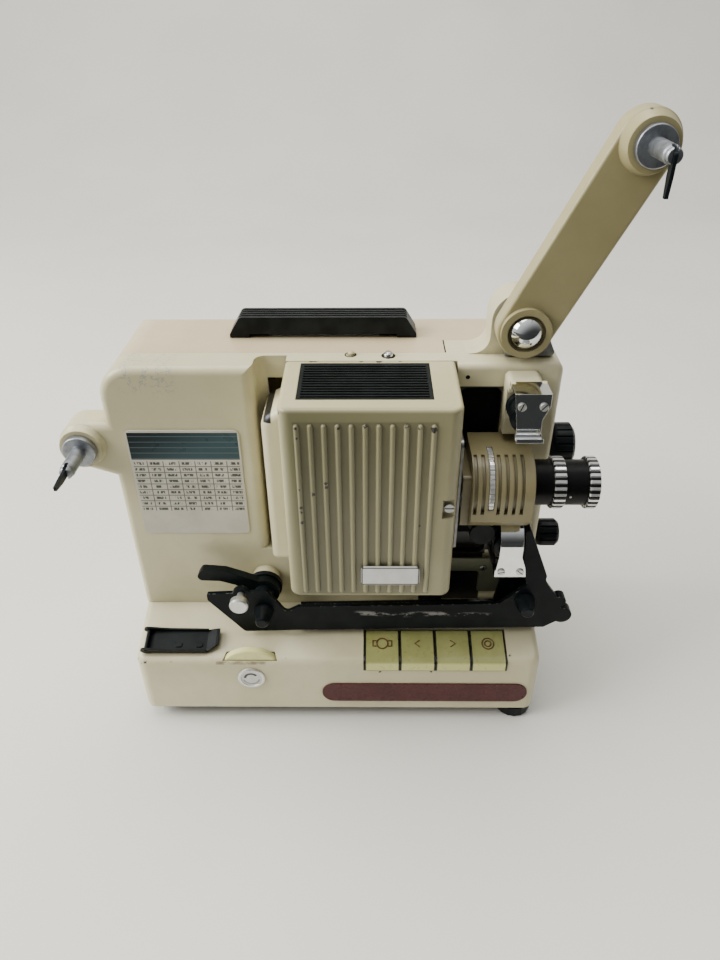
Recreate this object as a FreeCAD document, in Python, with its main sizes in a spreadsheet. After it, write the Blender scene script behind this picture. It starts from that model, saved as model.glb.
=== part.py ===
import FreeCAD, Part
import math
import os
import Sketcher

os.makedirs("parts", exist_ok=True)
doc = FreeCAD.newDocument("FilmProjector")
Vector = FreeCAD.Vector

# A small film projector for 8 mm film, in millimetres.
# X runs along the machine towards the lens, Y runs to the back, Z is up.
# The origin lies on the table, under the middle of the base.

# Driving sizes

SIZES = {
    # Fits shared by all pieces
    "running_fit": 0.05,
    "loose_gap": 0.3,
    "side_gap": 0.15,
    "slide_gap": 0.5,
    # Base
    "base_width": 250,
    "base_depth": 140,
    "base_underside": 10,
    "base_front_top": 52.3,
    "base_top": 65,
    "base_corner": 7,
    "base_edge": 4.6,
    "foot_edge": 1.2,
    "base_wall": 4,
    "base_room_front": -46,
    "base_room_left": -117,
    "base_room_right": 104,
    "plate_inset": 4,
    "plate_thick": 2,
    "plate_vent_left": -50,
    "plate_vent_half": 30,
    "plate_vent_width": 3,
    "plate_vent_pitch": 9,
    "plate_vent_count": 12,
    "foot_radius": 9.5,
    "foot_tip_radius": 8,
    "foot_inset": 16,
    "tilt_radius": 11.5,
    "tilt_inset_side": 11,
    "tilt_inset_front": 12,
    "tilt_stem_radius": 4,
    "tilt_stem_top": 30,
    # Thumbwheel for the speed
    "wheel_x": -53.8,
    "wheel_z": 39.8,
    "wheel_radius": 20.2,
    "wheel_front": -68.4,
    "wheel_thick": 4.2,
    "wheel_shaft_radius": 3,
    "wheel_shaft_back": -52,
    # Keys
    "keys_left": 16.9,
    "key_pitch": 21.85,
    "key_gap": 0.5,
    "key_back": -50.3,
    "key_break": -66.7,
    "key_front": -70.8,
    "key_foot": 45.7,
    "key_rise": 0.4,
    "key_wall": 2.4,
    "key_axis_y": -64.5,
    "key_axis_z": 49.5,
    "key_axis_radius": 1.5,
    "key_boss": 3.2,
    "key_back_gap": 1.3,
    # Name strip
    "strip_left": -10,
    "strip_right": 119,
    "strip_bottom": 17,
    "strip_top": 33,
    "strip_thick": 0.8,
    # Film cutter
    "cutter_x": -118.1,
    "cutter_y": -58,
    "cutter_length": 44.4,
    "cutter_width": 15.1,
    "cutter_sheet": 1,
    "cutter_wall": 3.4,
    "cutter_ear": 3.2,
    "cutter_tab": 7.2,
    "cutter_tab_cut": 4.6,
    "bump_first": 17.3,
    "bump_length": 4.4,
    "bump_pitch": 12.8,
    "bump_near": -4.3,
    "bump_far": -1.2,
    # Front casting
    "cast_left": -125.5,
    "cast_right": 122,
    "cast_top": 231,
    "cast_front": -31.2,
    "cast_back": -12,
    "cast_corner": 18,
    "cast_edge": 4.5,
    "cast_low_corner": 5,
    "step_x": 66,
    "step_front": -27,
    "step_back": 4.6,
    "step_left": 61,
    "cast_wall": 4,
    "step_front_wall": 9,
    "chamber_left": 68.4,
    "chamber_depth": 5.5,
    "liner_thick": 0.8,
    "chamber_right": 90.4,
    "chamber_bottom": 104,
    "chamber_top": 217.5,
    # Lobe with the take-up axis
    "lobe_left": -153.5,
    "lobe_top": 197.2,
    "lobe_back": -14,
    "lobe_radius": 14.1,
    "lobe_low_z": 172.5,
    "lobe_root_z": 159.8,
    "lobe_root_x": -118,
    "takeup_x": -140,
    "takeup_z": 184,
    # Side recess and lamp rib
    "recess_left": -42,
    "recess_floor": -15.5,
    "recess_bottom": 110,
    "recess_round": 6,
    "rib_left": -38,
    "rib_front": -45,
    "rib_bottom": 112,
    "rib_top": 208,
    "window_left": -36.5,
    "window_bottom": 205.7,
    "window_top": 218,
    # Lamp house cover
    "lamp_left": -25,
    "lamp_right": 65,
    "lamp_bottom": 109.6,
    "lamp_front": -73,
    "lamp_back": -23,
    "lamp_wall": 2,
    "lamp_corner": 6,
    "lamp_edge": 2,
    "lamp_top_drop": 2.2,
    "lamp_seat_gap": 0.8,
    "grille_left": -16.5,
    "grille_right": 51,
    "grille_front": -62.8,
    "grille_back": -25,
    "grille_thick": 1.4,
    "grille_rim": 2,
    "grille_slot": 1.4,
    "grille_pitch": 2.6,
    "grille_slots": 13,
    "flute_count": 11,
    "flute_pitch": 6.66,
    "flute_first": -15.8,
    "flute_radius": 1.5,
    "flute_depth": 1.3,
    "flute_top": 221.5,
    "flute_bottom": 113,
    "notch_width": 7.5,
    "notch_height": 11.6,
    "notch_depth": 3,
    "notch_z": 170.4,
    "cover_screw_radius": 2.7,
    "light_slot_half_height": 11,
    "light_slot_half_width": 8,
    # Badge on the lamp house
    "badge_left": 15,
    "badge_right": 47.1,
    "badge_bottom": 120.6,
    "badge_top": 133.3,
    "badge_thick": 1.2,
    # Lens axis and lens
    "lens_y": -48,
    "lens_z": 170.9,
    "carrier_radius": 19.3,
    "carrier_left": 73.4,
    "carrier_right": 106,
    "carrier_lip": 3,
    "carrier_chin": 158,
    "groove_pitch": 4.1,
    "groove_first": 75.2,
    "groove_count": 7,
    "groove_width": 1.8,
    "groove_depth": 1.2,
    "groove_low": 163,
    "groove_back": -50.5,
    "focus_left": 82.1,
    "focus_width": 3,
    "focus_radius": 19.6,
    "focus_sleeve": 14,
    "focus_teeth": 48,
    "barrel_radius": 12.5,
    "barrel_left": 79,
    "barrel_right": 141,
    "ring_radius": 14.3,
    "zoom_left": 117.4,
    "zoom_right": 123.7,
    "front_ring_left": 136,
    "front_ring_right": 141.5,
    "ring_bars": 24,
    "bar_depth": 0.9,
    "glass_radius": 9.4,
    "gate_left": 66.3,
    "gate_thick": 1.5,
    "film_gap": 0.25,
    "film_width": 8,
    "pressure_thick": 0.9,
    "gate_front": -60,
    "gate_bottom": 133,
    "gate_top": 203,
    "gate_window_wide": 4.6,
    "gate_window_high": 3.5,
    "flange_top": 181,
    "flange_front": -59,
    # Sprockets and shoes
    "sprocket_x": 99,
    "sprocket_offset": 42,
    "sprocket_radius": 8.1,
    "sprocket_drum": 6.6,
    "sprocket_front": -54,
    "sprocket_back": -38,
    "sprocket_teeth": 12,
    "sprocket_shaft": 2.5,
    "shoe_left": 91,
    "shoe_right": 109.3,
    "low_shoe_left": 92.1,
    "low_shoe_right": 110.3,
    "low_hinge_right": 108.2,
    "shoe_front": -57.2,
    "shoe_sheet": 1.2,
    "shoe_top": 229,
    "shoe_bottom": 206.5,
    "shoe_hinge_y": -43.5,
    "hinge_inset": 1.8,
    "hinge_pin": 1,
    "cheek_radius": 2.2,
    "cheek_width": 2.4,
    "shoe_lip": 3.6,
    "shoe_wall": 2.85,
    "low_shoe_top": 131,
    "low_shoe_bottom": 110.3,
    "low_shoe_curl": 13,
    "low_shoe_curl_back": -47,
    "boss_top": 227.4,
    "boss_low": 222,
    "guide_x": 84,
    "guide_z": 136,
    "guide_radius": 7.5,
    "plate_stand": 4,
    "lower_plate_left": 70,
    "lower_plate_right": 105,
    "lower_plate_bottom": 75,
    "lower_plate_top": 102,
    # Film chute
    "chute_front": -54,
    "chute_sheet": 2.4,
    "chute_back": -39,
    "chute_left": -78.2,
    "chute_low": 62.2,
    "chute_rail_left": -22.6,
    "chute_rail_right": 98,
    "pillar_x": -44.8,
    "pillar_z": 88,
    "pillar_radius": 8.5,
    "pillar_front": -38.5,
    "collar_radius": 10.5,
    "collar_neck": 6,
    "roller_pin": 2,
    "roller_radius": 6,
    "roller_tip_radius": 3.7,
    "roller_length": 11,
    "post_x": 113,
    "post_z": 88.5,
    "thumb_x": -57.4,
    "thumb_z": 93,
    "thumb_radius": 5.6,
    "thumb_neck": 2.4,
    # Reel arm
    "arm_x": 98.6,
    "arm_z": 249.7,
    "arm_length": 98.1,
    "arm_tilt": 26.4,
    "arm_radius": 14.4,
    "arm_front": -29,
    "arm_back": -19,
    "arm_edge": 1.6,
    "hub_radius": 12.9,
    "hub_front": -32,
    "dome_radius": 8.8,
    "dome_front": -36,
    "dome_gap": 0.8,
    "pivot_radius": 4,
    "ear_front": -14,
    "ear_back": 4,
    "bracket_thick": 3.8,
    # Reel spindles
    "boss_radius": 11.6,
    "boss_front": -35.5,
    "flange_radius": 9.1,
    "flange_face": -39,
    "spindle_radius": 4,
    "spindle_tip": -60.3,
    "spindle_seat_end": -56.8,
    "spindle_lead": 0.5,
    "spindle_root_radius": 3,
    "latch_y": -58.6,
    "latch_length": 16.4,
    "latch_wide": 3.6,
    "latch_thick": 1.6,
    "latch_pin": 0.8,
    # Knobs and shafts
    "shaft_y": -8,
    "shaft_z": 171,
    "shaft_radius": 3,
    "shutter_x": 57,
    "shutter_radius": 46,
    "shutter_thick": 1.2,
    "inching_radius": 12.7,
    "inching_length": 16,
    "framing_y": -10,
    "framing_z": 106.6,
    "framing_radius": 8.7,
    "framing_length": 16.5,
    # Rear cover
    "cover_side": 125,
    "cover_back": 69,
    "cover_wall": 3,
    "cover_slope_y": 36,
    "cover_slope_z": 217,
    "cover_round": 12,
    "vent_left": -30,
    "vent_width": 3,
    "vent_bottom": 120,
    "vent_top": 180,
    "vent_pitch": 6.5,
    "vent_count": 14,
    "inlet_x": -88,
    "inlet_z": 92,
    "inlet_width": 24,
    "inlet_height": 20,
    "inlet_pin_offset": 5,
    "inlet_pin_radius": 1.2,
    # Button on top
    "button_x": 9.8,
    "button_y": -14.6,
    "button_radius": 1.9,
    # Carry handle
    "handle_left": -59,
    "handle_right": 46,
    "handle_slant": 6,
    "handle_front": 8,
    "handle_back": 23,
    "handle_bottom": 233.2,
    "handle_top": 243,
    "handle_travel": 22,
    "handle_end": 11,
    "post_width": 12,
    "post_thick": 6,
    # Lamp
    "lamp_x": 12,
    "bulb_radius": 11,
    "bulb_foot": 133,
    "bracket_thick": 1.6,
    "condenser_x": 40,
    "condenser_radius": 11,
    "condenser_bulge": 3,
    "socket_radius": 9,
}


class Size:
    """A number together with the sheet formula that drives it."""

    def __init__(self, number, formula):
        self.number = float(number)
        self.formula = formula

    def joined(self, sign, other, number, swap=False):
        other_formula = other.formula if isinstance(other, Size) else repr(float(other))
        first, second = self.formula, other_formula
        if swap:
            first, second = second, first
        return Size(number, "(" + first + " " + sign + " " + second + ")")

    def __add__(self, other):
        return self.joined("+", other, self.number + num(other))

    def __radd__(self, other):
        return self.joined("+", other, num(other) + self.number, True)

    def __sub__(self, other):
        return self.joined("-", other, self.number - num(other))

    def __rsub__(self, other):
        return self.joined("-", other, num(other) - self.number, True)

    def __mul__(self, other):
        return self.joined("*", other, self.number * num(other))

    def __rmul__(self, other):
        return self.joined("*", other, num(other) * self.number, True)

    def __truediv__(self, other):
        return self.joined("/", other, self.number / num(other))

    def __neg__(self):
        return Size(-self.number, "(0 - " + self.formula + ")")


def num(value):
    """Plain number of a size."""
    return value.number if isinstance(value, Size) else float(value)


def whole(value):
    """Whole number of a count."""
    return int(round(num(value)))


def formula(value):
    """Sheet formula of a size."""
    return value.formula if isinstance(value, Size) else repr(float(value))


def root(value):
    return Size(math.sqrt(num(value)), "sqrt(" + formula(value) + ")")


def sine(degrees):
    return Size(math.sin(math.radians(num(degrees))), "sin(" + formula(degrees) + ")")


def cosine(degrees):
    return Size(math.cos(math.radians(num(degrees))), "cos(" + formula(degrees) + ")")


class Sheet:
    """The driving sizes, read by name."""


S = Sheet()
sheet = doc.addObject("Spreadsheet::Sheet", "Sizes")
for row, (word, value) in enumerate(SIZES.items(), start=1):
    sheet.set("A%d" % row, word)
    sheet.set("B%d" % row, str(value))
    sheet.setAlias("B%d" % row, word)
    setattr(S, word, Size(value, "Sizes." + word))
doc.recompute()


# Helpers

def bind(thing, path, value):
    """Drive one property by its formula."""
    thing.setExpression(path, formula(value))


def settle(step):
    """Recompute and make sure that the step worked."""
    doc.recompute()
    if "Invalid" in step.State or "Error" in step.State or step.Shape.isNull():
        raise RuntimeError(step.Name + " failed")
    return step


def put(thing, x=None, y=None, z=None):
    """Drive the position of an object."""
    for axis, value in (("x", x), ("y", y), ("z", z)):
        if value is not None:
            bind(thing, "Placement.Base." + axis, value)


def box(x, y, z, name="Block"):
    """Block between pairs of coordinates."""
    block = doc.addObject("Part::Box", name)
    for side, (low, high) in (("Length", x), ("Width", y), ("Height", z)):
        bind(block, side, high - low)
    put(block, x[0], y[0], z[0])
    return block


TURNS = {
    "X": FreeCAD.Rotation(Vector(0, 1, 0), 90),
    "Y": FreeCAD.Rotation(Vector(1, 0, 0), -90),
    "Z": FreeCAD.Rotation(),
}


def aim(solid, axis, centre, start):
    """Lay a round solid along an axis through centre, from start on."""
    solid.Placement = FreeCAD.Placement(Vector(), TURNS[axis])
    if axis == "X":
        put(solid, start, centre[0], centre[1])
    elif axis == "Y":
        put(solid, centre[0], start, centre[1])
    else:
        put(solid, centre[0], centre[1], start)
    return solid


def rod(axis, centre, span, radius, name="Rod"):
    """Cylinder along an axis; centre holds the two other coordinates."""
    solid = doc.addObject("Part::Cylinder", name)
    bind(solid, "Radius", radius)
    bind(solid, "Height", span[1] - span[0])
    return aim(solid, axis, centre, span[0])


def cone(axis, centre, span, radii, name="Taper"):
    """Frustum along an axis with its first and last radius."""
    solid = doc.addObject("Part::Cone", name)
    bind(solid, "Radius1", radii[0])
    bind(solid, "Radius2", radii[1])
    bind(solid, "Height", span[1] - span[0])
    return aim(solid, axis, centre, span[0])


def ball(centre, radius, name="Ball"):
    solid = doc.addObject("Part::Sphere", name)
    bind(solid, "Radius", radius)
    put(solid, centre[0], centre[1], centre[2])
    return solid


def fuse(*solids, name="Union"):
    union = doc.addObject("Part::MultiFuse", name)
    union.Shapes = list(solids)
    return settle(union)


def cut(base, *tools, name="Cut"):
    """Base without the tools; each tool has to take something away."""
    result = base
    for tool in tools:
        step = doc.addObject("Part::Cut", name)
        step.Base = result
        step.Tool = tool
        settle(step)
        if step.Shape.Volume > step.Base.Shape.Volume - 1e-3:
            raise RuntimeError("nothing was cut by " + tool.Label + " in " + name)
        result = step
    return result


def common(base, tool, name="Common"):
    step = doc.addObject("Part::Common", name)
    step.Base = base
    step.Tool = tool
    return settle(step)


def within(value, limits):
    """Whether a coordinate lies at a value or between two values."""
    if isinstance(limits, tuple):
        return num(limits[0]) - 0.01 <= value <= num(limits[1]) + 0.01
    return abs(value - num(limits)) < 0.01


def edges(shape, x=None, y=None, z=None, least=0.0):
    """Numbers of the edges that lie wholly inside the given limits."""
    found = []
    for number, edge in enumerate(shape.Edges, start=1):
        bounds = edge.BoundBox
        spans = ((x, bounds.XMin, bounds.XMax), (y, bounds.YMin, bounds.YMax), (z, bounds.ZMin, bounds.ZMax))
        inside = all(
            limits is None or (within(low, limits) and within(high, limits))
            for limits, low, high in spans
        )
        if inside and edge.Length > least:
            found.append(number)
    return found


def rounded(base, radius, numbers, name="Rounded"):
    """Round the numbered edges of any solid."""
    step = doc.addObject("Part::Fillet", name)
    step.Base = base
    step.Edges = [(number, num(radius), num(radius)) for number in numbers]
    return settle(step)


def new_body(name):
    return doc.addObject("PartDesign::Body", name)


PLANES = {"X": "YZ_Plane", "Y": "XZ_Plane", "Z": "XY_Plane"}
FACING = {"X": 1.0, "Y": -1.0, "Z": 1.0}


def sketch_on(body, axis, at, name="Outline"):
    """Sketch square to an axis, at a coordinate on that axis."""
    sketch = body.newObject("Sketcher::SketchObject", name)
    plane = [item for item in body.Origin.OriginFeatures if item.Role == PLANES[axis]][0]
    sketch.AttachmentSupport = [(plane, "")]
    sketch.MapMode = "FlatFace"
    bind(sketch, "AttachmentOffset.Base.z", at * FACING[axis])
    return sketch


def hold(sketch, kind, element, value, point=1):
    """Dimension from the sketch origin, driven by its formula."""
    place = sketch.addConstraint(Sketcher.Constraint(kind, -1, 1, element, point, num(value)))
    sketch.setExpression("Constraints[%d]" % place, formula(value))


def size_constraint(sketch, kind, element, value):
    place = sketch.addConstraint(Sketcher.Constraint(kind, element, num(value)))
    sketch.setExpression("Constraints[%d]" % place, formula(value))


def corner_points(before, corner, after, radius):
    """Start, end and centre of the arc that rounds one corner."""
    first = (before - corner).normalize()
    second = (after - corner).normalize()
    half = first.getAngle(second) / 2.0
    reach = radius / math.tan(half)
    centre = corner + (first + second).normalize() * (radius / math.sin(half))
    return corner + first * reach, corner + second * reach, centre


def corner_arc(start, end, centre):
    """Arc between two points the short way, and whether it runs from start to end."""
    angles = [math.atan2(point.y - centre.y, point.x - centre.x) for point in (start, end)]
    forward = (angles[1] - angles[0]) % (2 * math.pi) < math.pi
    if not forward:
        angles.reverse()
    if angles[1] < angles[0]:
        angles[1] += 2 * math.pi
    ring = Part.Circle(centre, Vector(0, 0, 1), (start - centre).Length)
    return Part.ArcOfCircle(ring, angles[0], angles[1]), forward


def outline(sketch, corners):
    """Closed outline through corners (a, b) or, when rounded, (a, b, radius)."""
    count = len(corners)
    points = [Vector(num(corner[0]), num(corner[1]), 0) for corner in corners]
    starts = []
    ends = []
    centres = []
    for index, corner in enumerate(corners):
        start = end = points[index]
        centre = None
        if len(corner) > 2:
            start, end, centre = corner_points(
                points[index - 1], points[index], points[(index + 1) % count], num(corner[2]))
        starts.append(start)
        ends.append(end)
        centres.append(centre)
    lines = []
    for index in range(count):
        following = (index + 1) % count
        lines.append(sketch.addGeometry(Part.LineSegment(ends[index], starts[following])))
    for index, corner in enumerate(corners):
        line_in = lines[index - 1]
        line_out = lines[index]
        if centres[index] is None:
            sketch.addConstraint(Sketcher.Constraint("Coincident", line_in, 2, line_out, 1))
            hold(sketch, "DistanceX", line_out, corner[0])
            hold(sketch, "DistanceY", line_out, corner[1])
            continue
        curve, forward = corner_arc(starts[index], ends[index], centres[index])
        arc = sketch.addGeometry(curve)
        sketch.addConstraint(Sketcher.Constraint("Tangent", line_in, 2, arc, 1 if forward else 2))
        sketch.addConstraint(Sketcher.Constraint("Tangent", line_out, 1, arc, 2 if forward else 1))
        mark = sketch.addGeometry(Part.Point(points[index]), True)
        sketch.addConstraint(Sketcher.Constraint("PointOnObject", mark, 1, line_in))
        sketch.addConstraint(Sketcher.Constraint("PointOnObject", mark, 1, line_out))
        hold(sketch, "DistanceX", mark, corner[0])
        hold(sketch, "DistanceY", mark, corner[1])
        size_constraint(sketch, "Radius", arc, corner[2])


def circle(sketch, a, b, radius):
    """Circle at (a, b) in a sketch."""
    ring = sketch.addGeometry(Part.Circle(Vector(num(a), num(b), 0), Vector(0, 0, 1), num(radius)))
    hold(sketch, "DistanceX", ring, a, 3)
    hold(sketch, "DistanceY", ring, b, 3)
    size_constraint(sketch, "Radius", ring, radius)


def rect(a, b, radius=None):
    """Corners of a rectangle, rounded if a radius is given."""
    corners = [(a[0], b[0]), (a[1], b[0]), (a[1], b[1]), (a[0], b[1])]
    if radius is None:
        return corners
    return [corner + (radius,) for corner in corners]


def pad(body, axis, span, corners=None, circles=(), name="Pad"):
    """Add an outline along an axis between two coordinates."""
    away = FACING[axis] < 0
    sketch = sketch_on(body, axis, span[1] if away else span[0], name + "Outline")
    if corners:
        outline(sketch, corners)
    for ring in circles:
        circle(sketch, *ring)
    step = body.newObject("PartDesign::Pad", name)
    step.Profile = sketch
    bind(step, "Length", span[1] - span[0])
    sketch.Visibility = False
    return settle(step)


def pocket(body, axis, span, corners=None, circles=(), name="Pocket"):
    """Take an outline away along an axis between two coordinates."""
    before = body.Shape.Volume
    away = FACING[axis] < 0
    sketch = sketch_on(body, axis, span[1] if away else span[0], name + "Outline")
    if corners:
        outline(sketch, corners)
    for ring in circles:
        circle(sketch, *ring)
    step = body.newObject("PartDesign::Pocket", name)
    step.Profile = sketch
    step.Reversed = True
    bind(step, "Length", span[1] - span[0])
    sketch.Visibility = False
    settle(step)
    if body.Shape.Volume > before - 1e-3:
        raise RuntimeError("nothing was cut by " + name)
    return step


def chamfered(corners):
    """Outline with each (a, b, width) corner cut off straight."""
    result = []
    for index, corner in enumerate(corners):
        if len(corner) == 2:
            result.append(corner)
            continue
        place = Vector(num(corner[0]), num(corner[1]), 0)
        for neighbour in (corners[index - 1], corners[(index + 1) % len(corners)]):
            way = (Vector(num(neighbour[0]), num(neighbour[1]), 0) - place).normalize()
            result.append((corner[0] + corner[2] * way.x, corner[1] + corner[2] * way.y))
    return result


def spin(body, corners, kind="PartDesign::Revolution", name="Turned"):
    """Turn an outline of (radius, height) corners round the Z axis; a third value is a chamfer."""
    sketch = body.newObject("Sketcher::SketchObject", name + "Outline")
    plane = [item for item in body.Origin.OriginFeatures if item.Role == "XZ_Plane"][0]
    sketch.AttachmentSupport = [(plane, "")]
    sketch.MapMode = "FlatFace"
    outline(sketch, chamfered(corners))
    step = body.newObject(kind, name)
    step.Profile = sketch
    step.ReferenceAxis = (sketch, ["V_Axis"])
    step.Angle = 360
    sketch.Visibility = False
    return settle(step)


def repeat_round(body, feature, count, name="Round"):
    """Repeat a feature round the body's own Z axis."""
    step = body.newObject("PartDesign::PolarPattern", name)
    step.Originals = [feature]
    axis = [item for item in body.Origin.OriginFeatures if item.Role == "Z_Axis"][0]
    step.Axis = (axis, [""])
    step.Angle = 360
    bind(step, "Occurrences", count)
    body.Tip = step
    return settle(step)


def repeat_along(body, feature, axis, pitch, count, name="Row"):
    """Repeat a feature along an axis of the body."""
    step = body.newObject("PartDesign::LinearPattern", name)
    step.Originals = [feature]
    line = [item for item in body.Origin.OriginFeatures if item.Role == axis + "_Axis"][0]
    step.Direction = (line, [""])
    bind(step, "Length", pitch * (count - 1))
    bind(step, "Occurrences", count)
    body.Tip = step
    return settle(step)


def soften(body, radius, numbers, name="Softened", kind="PartDesign::Fillet"):
    """Round the numbered edges of a body's last feature."""
    base = body.Tip
    step = body.newObject(kind, name)
    step.Base = (base, ["Edge%d" % number for number in numbers])
    bind(step, "Radius" if kind.endswith("Fillet") else "Size", radius)
    return settle(step)


NODES = []


def node(thing, label):
    """Name a finished sub-part."""
    thing.Label = label
    NODES.append(thing)
    return thing


# Base with its sloping front

half_width = S.base_width / 2
half_depth = S.base_depth / 2
slope_rate = (S.base_top - S.base_front_top) / (half_depth + S.cast_front)
slope_angle = math.degrees(math.atan(num(slope_rate)))


def slope_height(y):
    """Height of the sloping top above the table."""
    return S.base_front_top + slope_rate * (y + half_depth)


base = new_body("BaseShell")
pad(base, "X", (-half_width, half_width), [
    (-half_depth, S.base_underside),
    (-half_depth, S.base_front_top),
    (S.cast_front, S.base_top),
    (half_depth, S.base_top),
    (half_depth, S.base_underside),
])
uprights = []
for side in (-half_width, half_width):
    for end in (-half_depth, half_depth):
        uprights += edges(base.Shape, x=side, y=end)
soften(base, S.base_corner, uprights, "Corners")
rim = []
for number, edge in enumerate(base.Shape.Edges, start=1):
    bounds = edge.BoundBox
    top_edge = bounds.ZMin > num(S.base_front_top) - 0.01
    on_slope = bounds.YMax < num(S.cast_front) + 0.01
    crease = bounds.YMin > num(S.cast_front) - 0.01
    if top_edge and on_slope and not crease:
        rim.append(number)
soften(base, S.base_edge, rim, "TopEdge")
wheel_gap = S.loose_gap * 2
pocket(base, "Y", (S.wheel_front - S.slide_gap, S.wheel_front + S.wheel_thick + S.slide_gap),
       circles=[(S.wheel_x, S.wheel_z, S.wheel_radius + wheel_gap)], name="WheelSlot")
keys_right = S.keys_left + S.key_pitch * 4 - S.key_gap
pocket(base, "X", (S.keys_left - S.key_gap, keys_right + S.key_gap), [
    (-half_depth - 5, S.key_foot - S.key_gap),
    (S.key_back + S.key_back_gap, S.key_foot - S.key_gap),
    (S.key_back + S.key_back_gap, S.base_top + 1),
    (-half_depth - 5, S.base_top + 1),
], name="KeyWell")
pocket(base, "X", (S.base_room_left, S.base_room_right), [
    (S.base_room_front, S.base_underside - 1),
    (S.base_room_front, slope_height(S.base_room_front) - S.base_wall),
    (S.cast_front, S.base_top - S.base_wall),
    (half_depth - S.base_wall, S.base_top - S.base_wall),
    (half_depth - S.base_wall, S.base_underside - 1),
], name="BaseRoom")
tilt_x = half_width - S.tilt_inset_side
tilt_y = half_depth - S.tilt_inset_front
key_shaft_span = (S.keys_left - 4, keys_right + 4)
wheel_bore = rod("Y", (S.wheel_x, S.wheel_z),
                 (-half_depth + 1.5, S.wheel_shaft_back + S.slide_gap), S.wheel_shaft_radius + S.running_fit)
key_bore = rod("X", (S.key_axis_y, S.key_axis_z), key_shaft_span, S.key_axis_radius)
tilt_bores = [
    rod("Z", (tilt_x, side * tilt_y), (0, S.tilt_stem_top + S.slide_gap),
        S.tilt_stem_radius + S.running_fit)
    for side in (-1, 1)
]
node(cut(base, wheel_bore, key_bore, *tilt_bores, name="Base"), "base_housing")

plate = new_body("UnderPlate")
plate_span = (S.base_underside - S.plate_thick, S.base_underside)
pad(plate, "Z", plate_span, rect(
    (S.plate_inset - half_width, half_width - S.plate_inset),
    (S.plate_inset - half_depth, half_depth - S.plate_inset), S.base_corner))
vent = pocket(plate, "Z", plate_span, rect(
    (S.plate_vent_left, S.plate_vent_left + S.plate_vent_width),
    (-S.plate_vent_half, S.plate_vent_half)), name="Vent")
repeat_along(plate, vent, "X", S.plate_vent_pitch, S.plate_vent_count)
plate_bores = [
    rod("Z", (tilt_x, side * tilt_y), (S.base_underside - 5, S.base_underside + 5),
        S.tilt_stem_radius + S.slide_gap)
    for side in (-1, 1)
]
node(cut(plate, *plate_bores, name="UnderPlateBored"), "bottom_plate")

for side, word in ((-1, "front"), (1, "rear")):
    foot_at = (S.foot_inset - half_width, side * (half_depth - S.foot_inset))
    foot = new_body("Foot")
    spin(foot, [
        (0, 0),
        (S.foot_tip_radius, 0, S.foot_edge),
        (S.foot_radius, S.base_underside - S.plate_thick),
        (0, S.base_underside - S.plate_thick),
    ])
    put(foot, *foot_at)
    node(foot, "foot_left_" + word)

    grip = doc.addObject("Part::Prism", "TiltGrip")
    grip.Polygon = 16
    bind(grip, "Circumradius", S.tilt_radius)
    bind(grip, "Height", S.base_underside - S.plate_thick - S.loose_gap)
    put(grip, tilt_x, side * tilt_y)
    doc.recompute()
    softened_grip = rounded(grip, 1.2, edges(grip.Shape, z=0), "GripEdge")
    stem = rod("Z", (tilt_x, side * tilt_y), (S.plate_thick, S.tilt_stem_top), S.tilt_stem_radius)
    node(fuse(softened_grip, stem, name="TiltFoot"), "tilt_foot_" + word)

# Thumbwheel in the slope

wheel = new_body("Thumbwheel")
spin(wheel, [
    (0, 0),
    (S.wheel_radius, 0, 0.8),
    (S.wheel_radius, S.wheel_thick, 0.8),
    (0, S.wheel_thick),
])
aim(wheel, "Y", (S.wheel_x, S.wheel_z), S.wheel_front)
wheel_shaft = rod("Y", (S.wheel_x, S.wheel_z),
                  (-half_depth + 2, S.wheel_shaft_back), S.wheel_shaft_radius)
node(fuse(wheel, wheel_shaft, name="Wheel"), "speed_thumbwheel")

strip = new_body("NameStrip")
pad(strip, "Y", (-half_depth - S.strip_thick, -half_depth), rect(
    (S.strip_left, S.strip_right), (S.strip_bottom, S.strip_top),
    (S.strip_top - S.strip_bottom) / 2 - S.running_fit))
node(strip, "name_strip")

# Four rocking keys on one shaft

node(rod("X", (S.key_axis_y, S.key_axis_z), key_shaft_span, S.key_axis_radius), "key_shaft")
key_top_back = slope_height(S.key_back) + S.key_rise
key_top_break = slope_height(S.key_break) + S.key_rise
for index, word in enumerate(("lamp", "reverse", "forward", "stop")):
    key = new_body("Key")
    start = S.keys_left + S.key_pitch * index
    end = start + S.key_pitch - S.key_gap
    pad(key, "X", (start, end), [
        (S.key_front, S.key_foot),
        (S.key_front, key_top_break - 1.6, 2.2),
        (S.key_break, key_top_break, 1.6),
        (S.key_back, key_top_back),
        (S.key_back, key_top_back - S.key_wall),
        (S.key_axis_y + S.key_boss, slope_height(S.key_axis_y + S.key_boss) - S.key_wall),
        (S.key_axis_y + S.key_boss, S.key_foot),
    ])
    pocket(key, "X", (start - 1, end + 1),
           circles=[(S.key_axis_y, S.key_axis_z, S.key_axis_radius + S.running_fit)], name="ShaftHole")
    node(key, "key_" + word)

# Film cutter on the slope, built flat and then laid on the slope

cutter_half = S.cutter_width / 2
cutter_axis = S.cutter_ear + S.slide_gap
cutter_floor = S.cutter_sheet + S.loose_gap


def lay_on_slope(thing):
    """Place a flat-built cutter piece on the slope."""
    thing.Placement = FreeCAD.Placement(Vector(), FreeCAD.Rotation(Vector(1, 0, 0), slope_angle))
    put(thing, S.cutter_x, S.cutter_y, slope_height(S.cutter_y))
    doc.recompute()
    return thing


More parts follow.
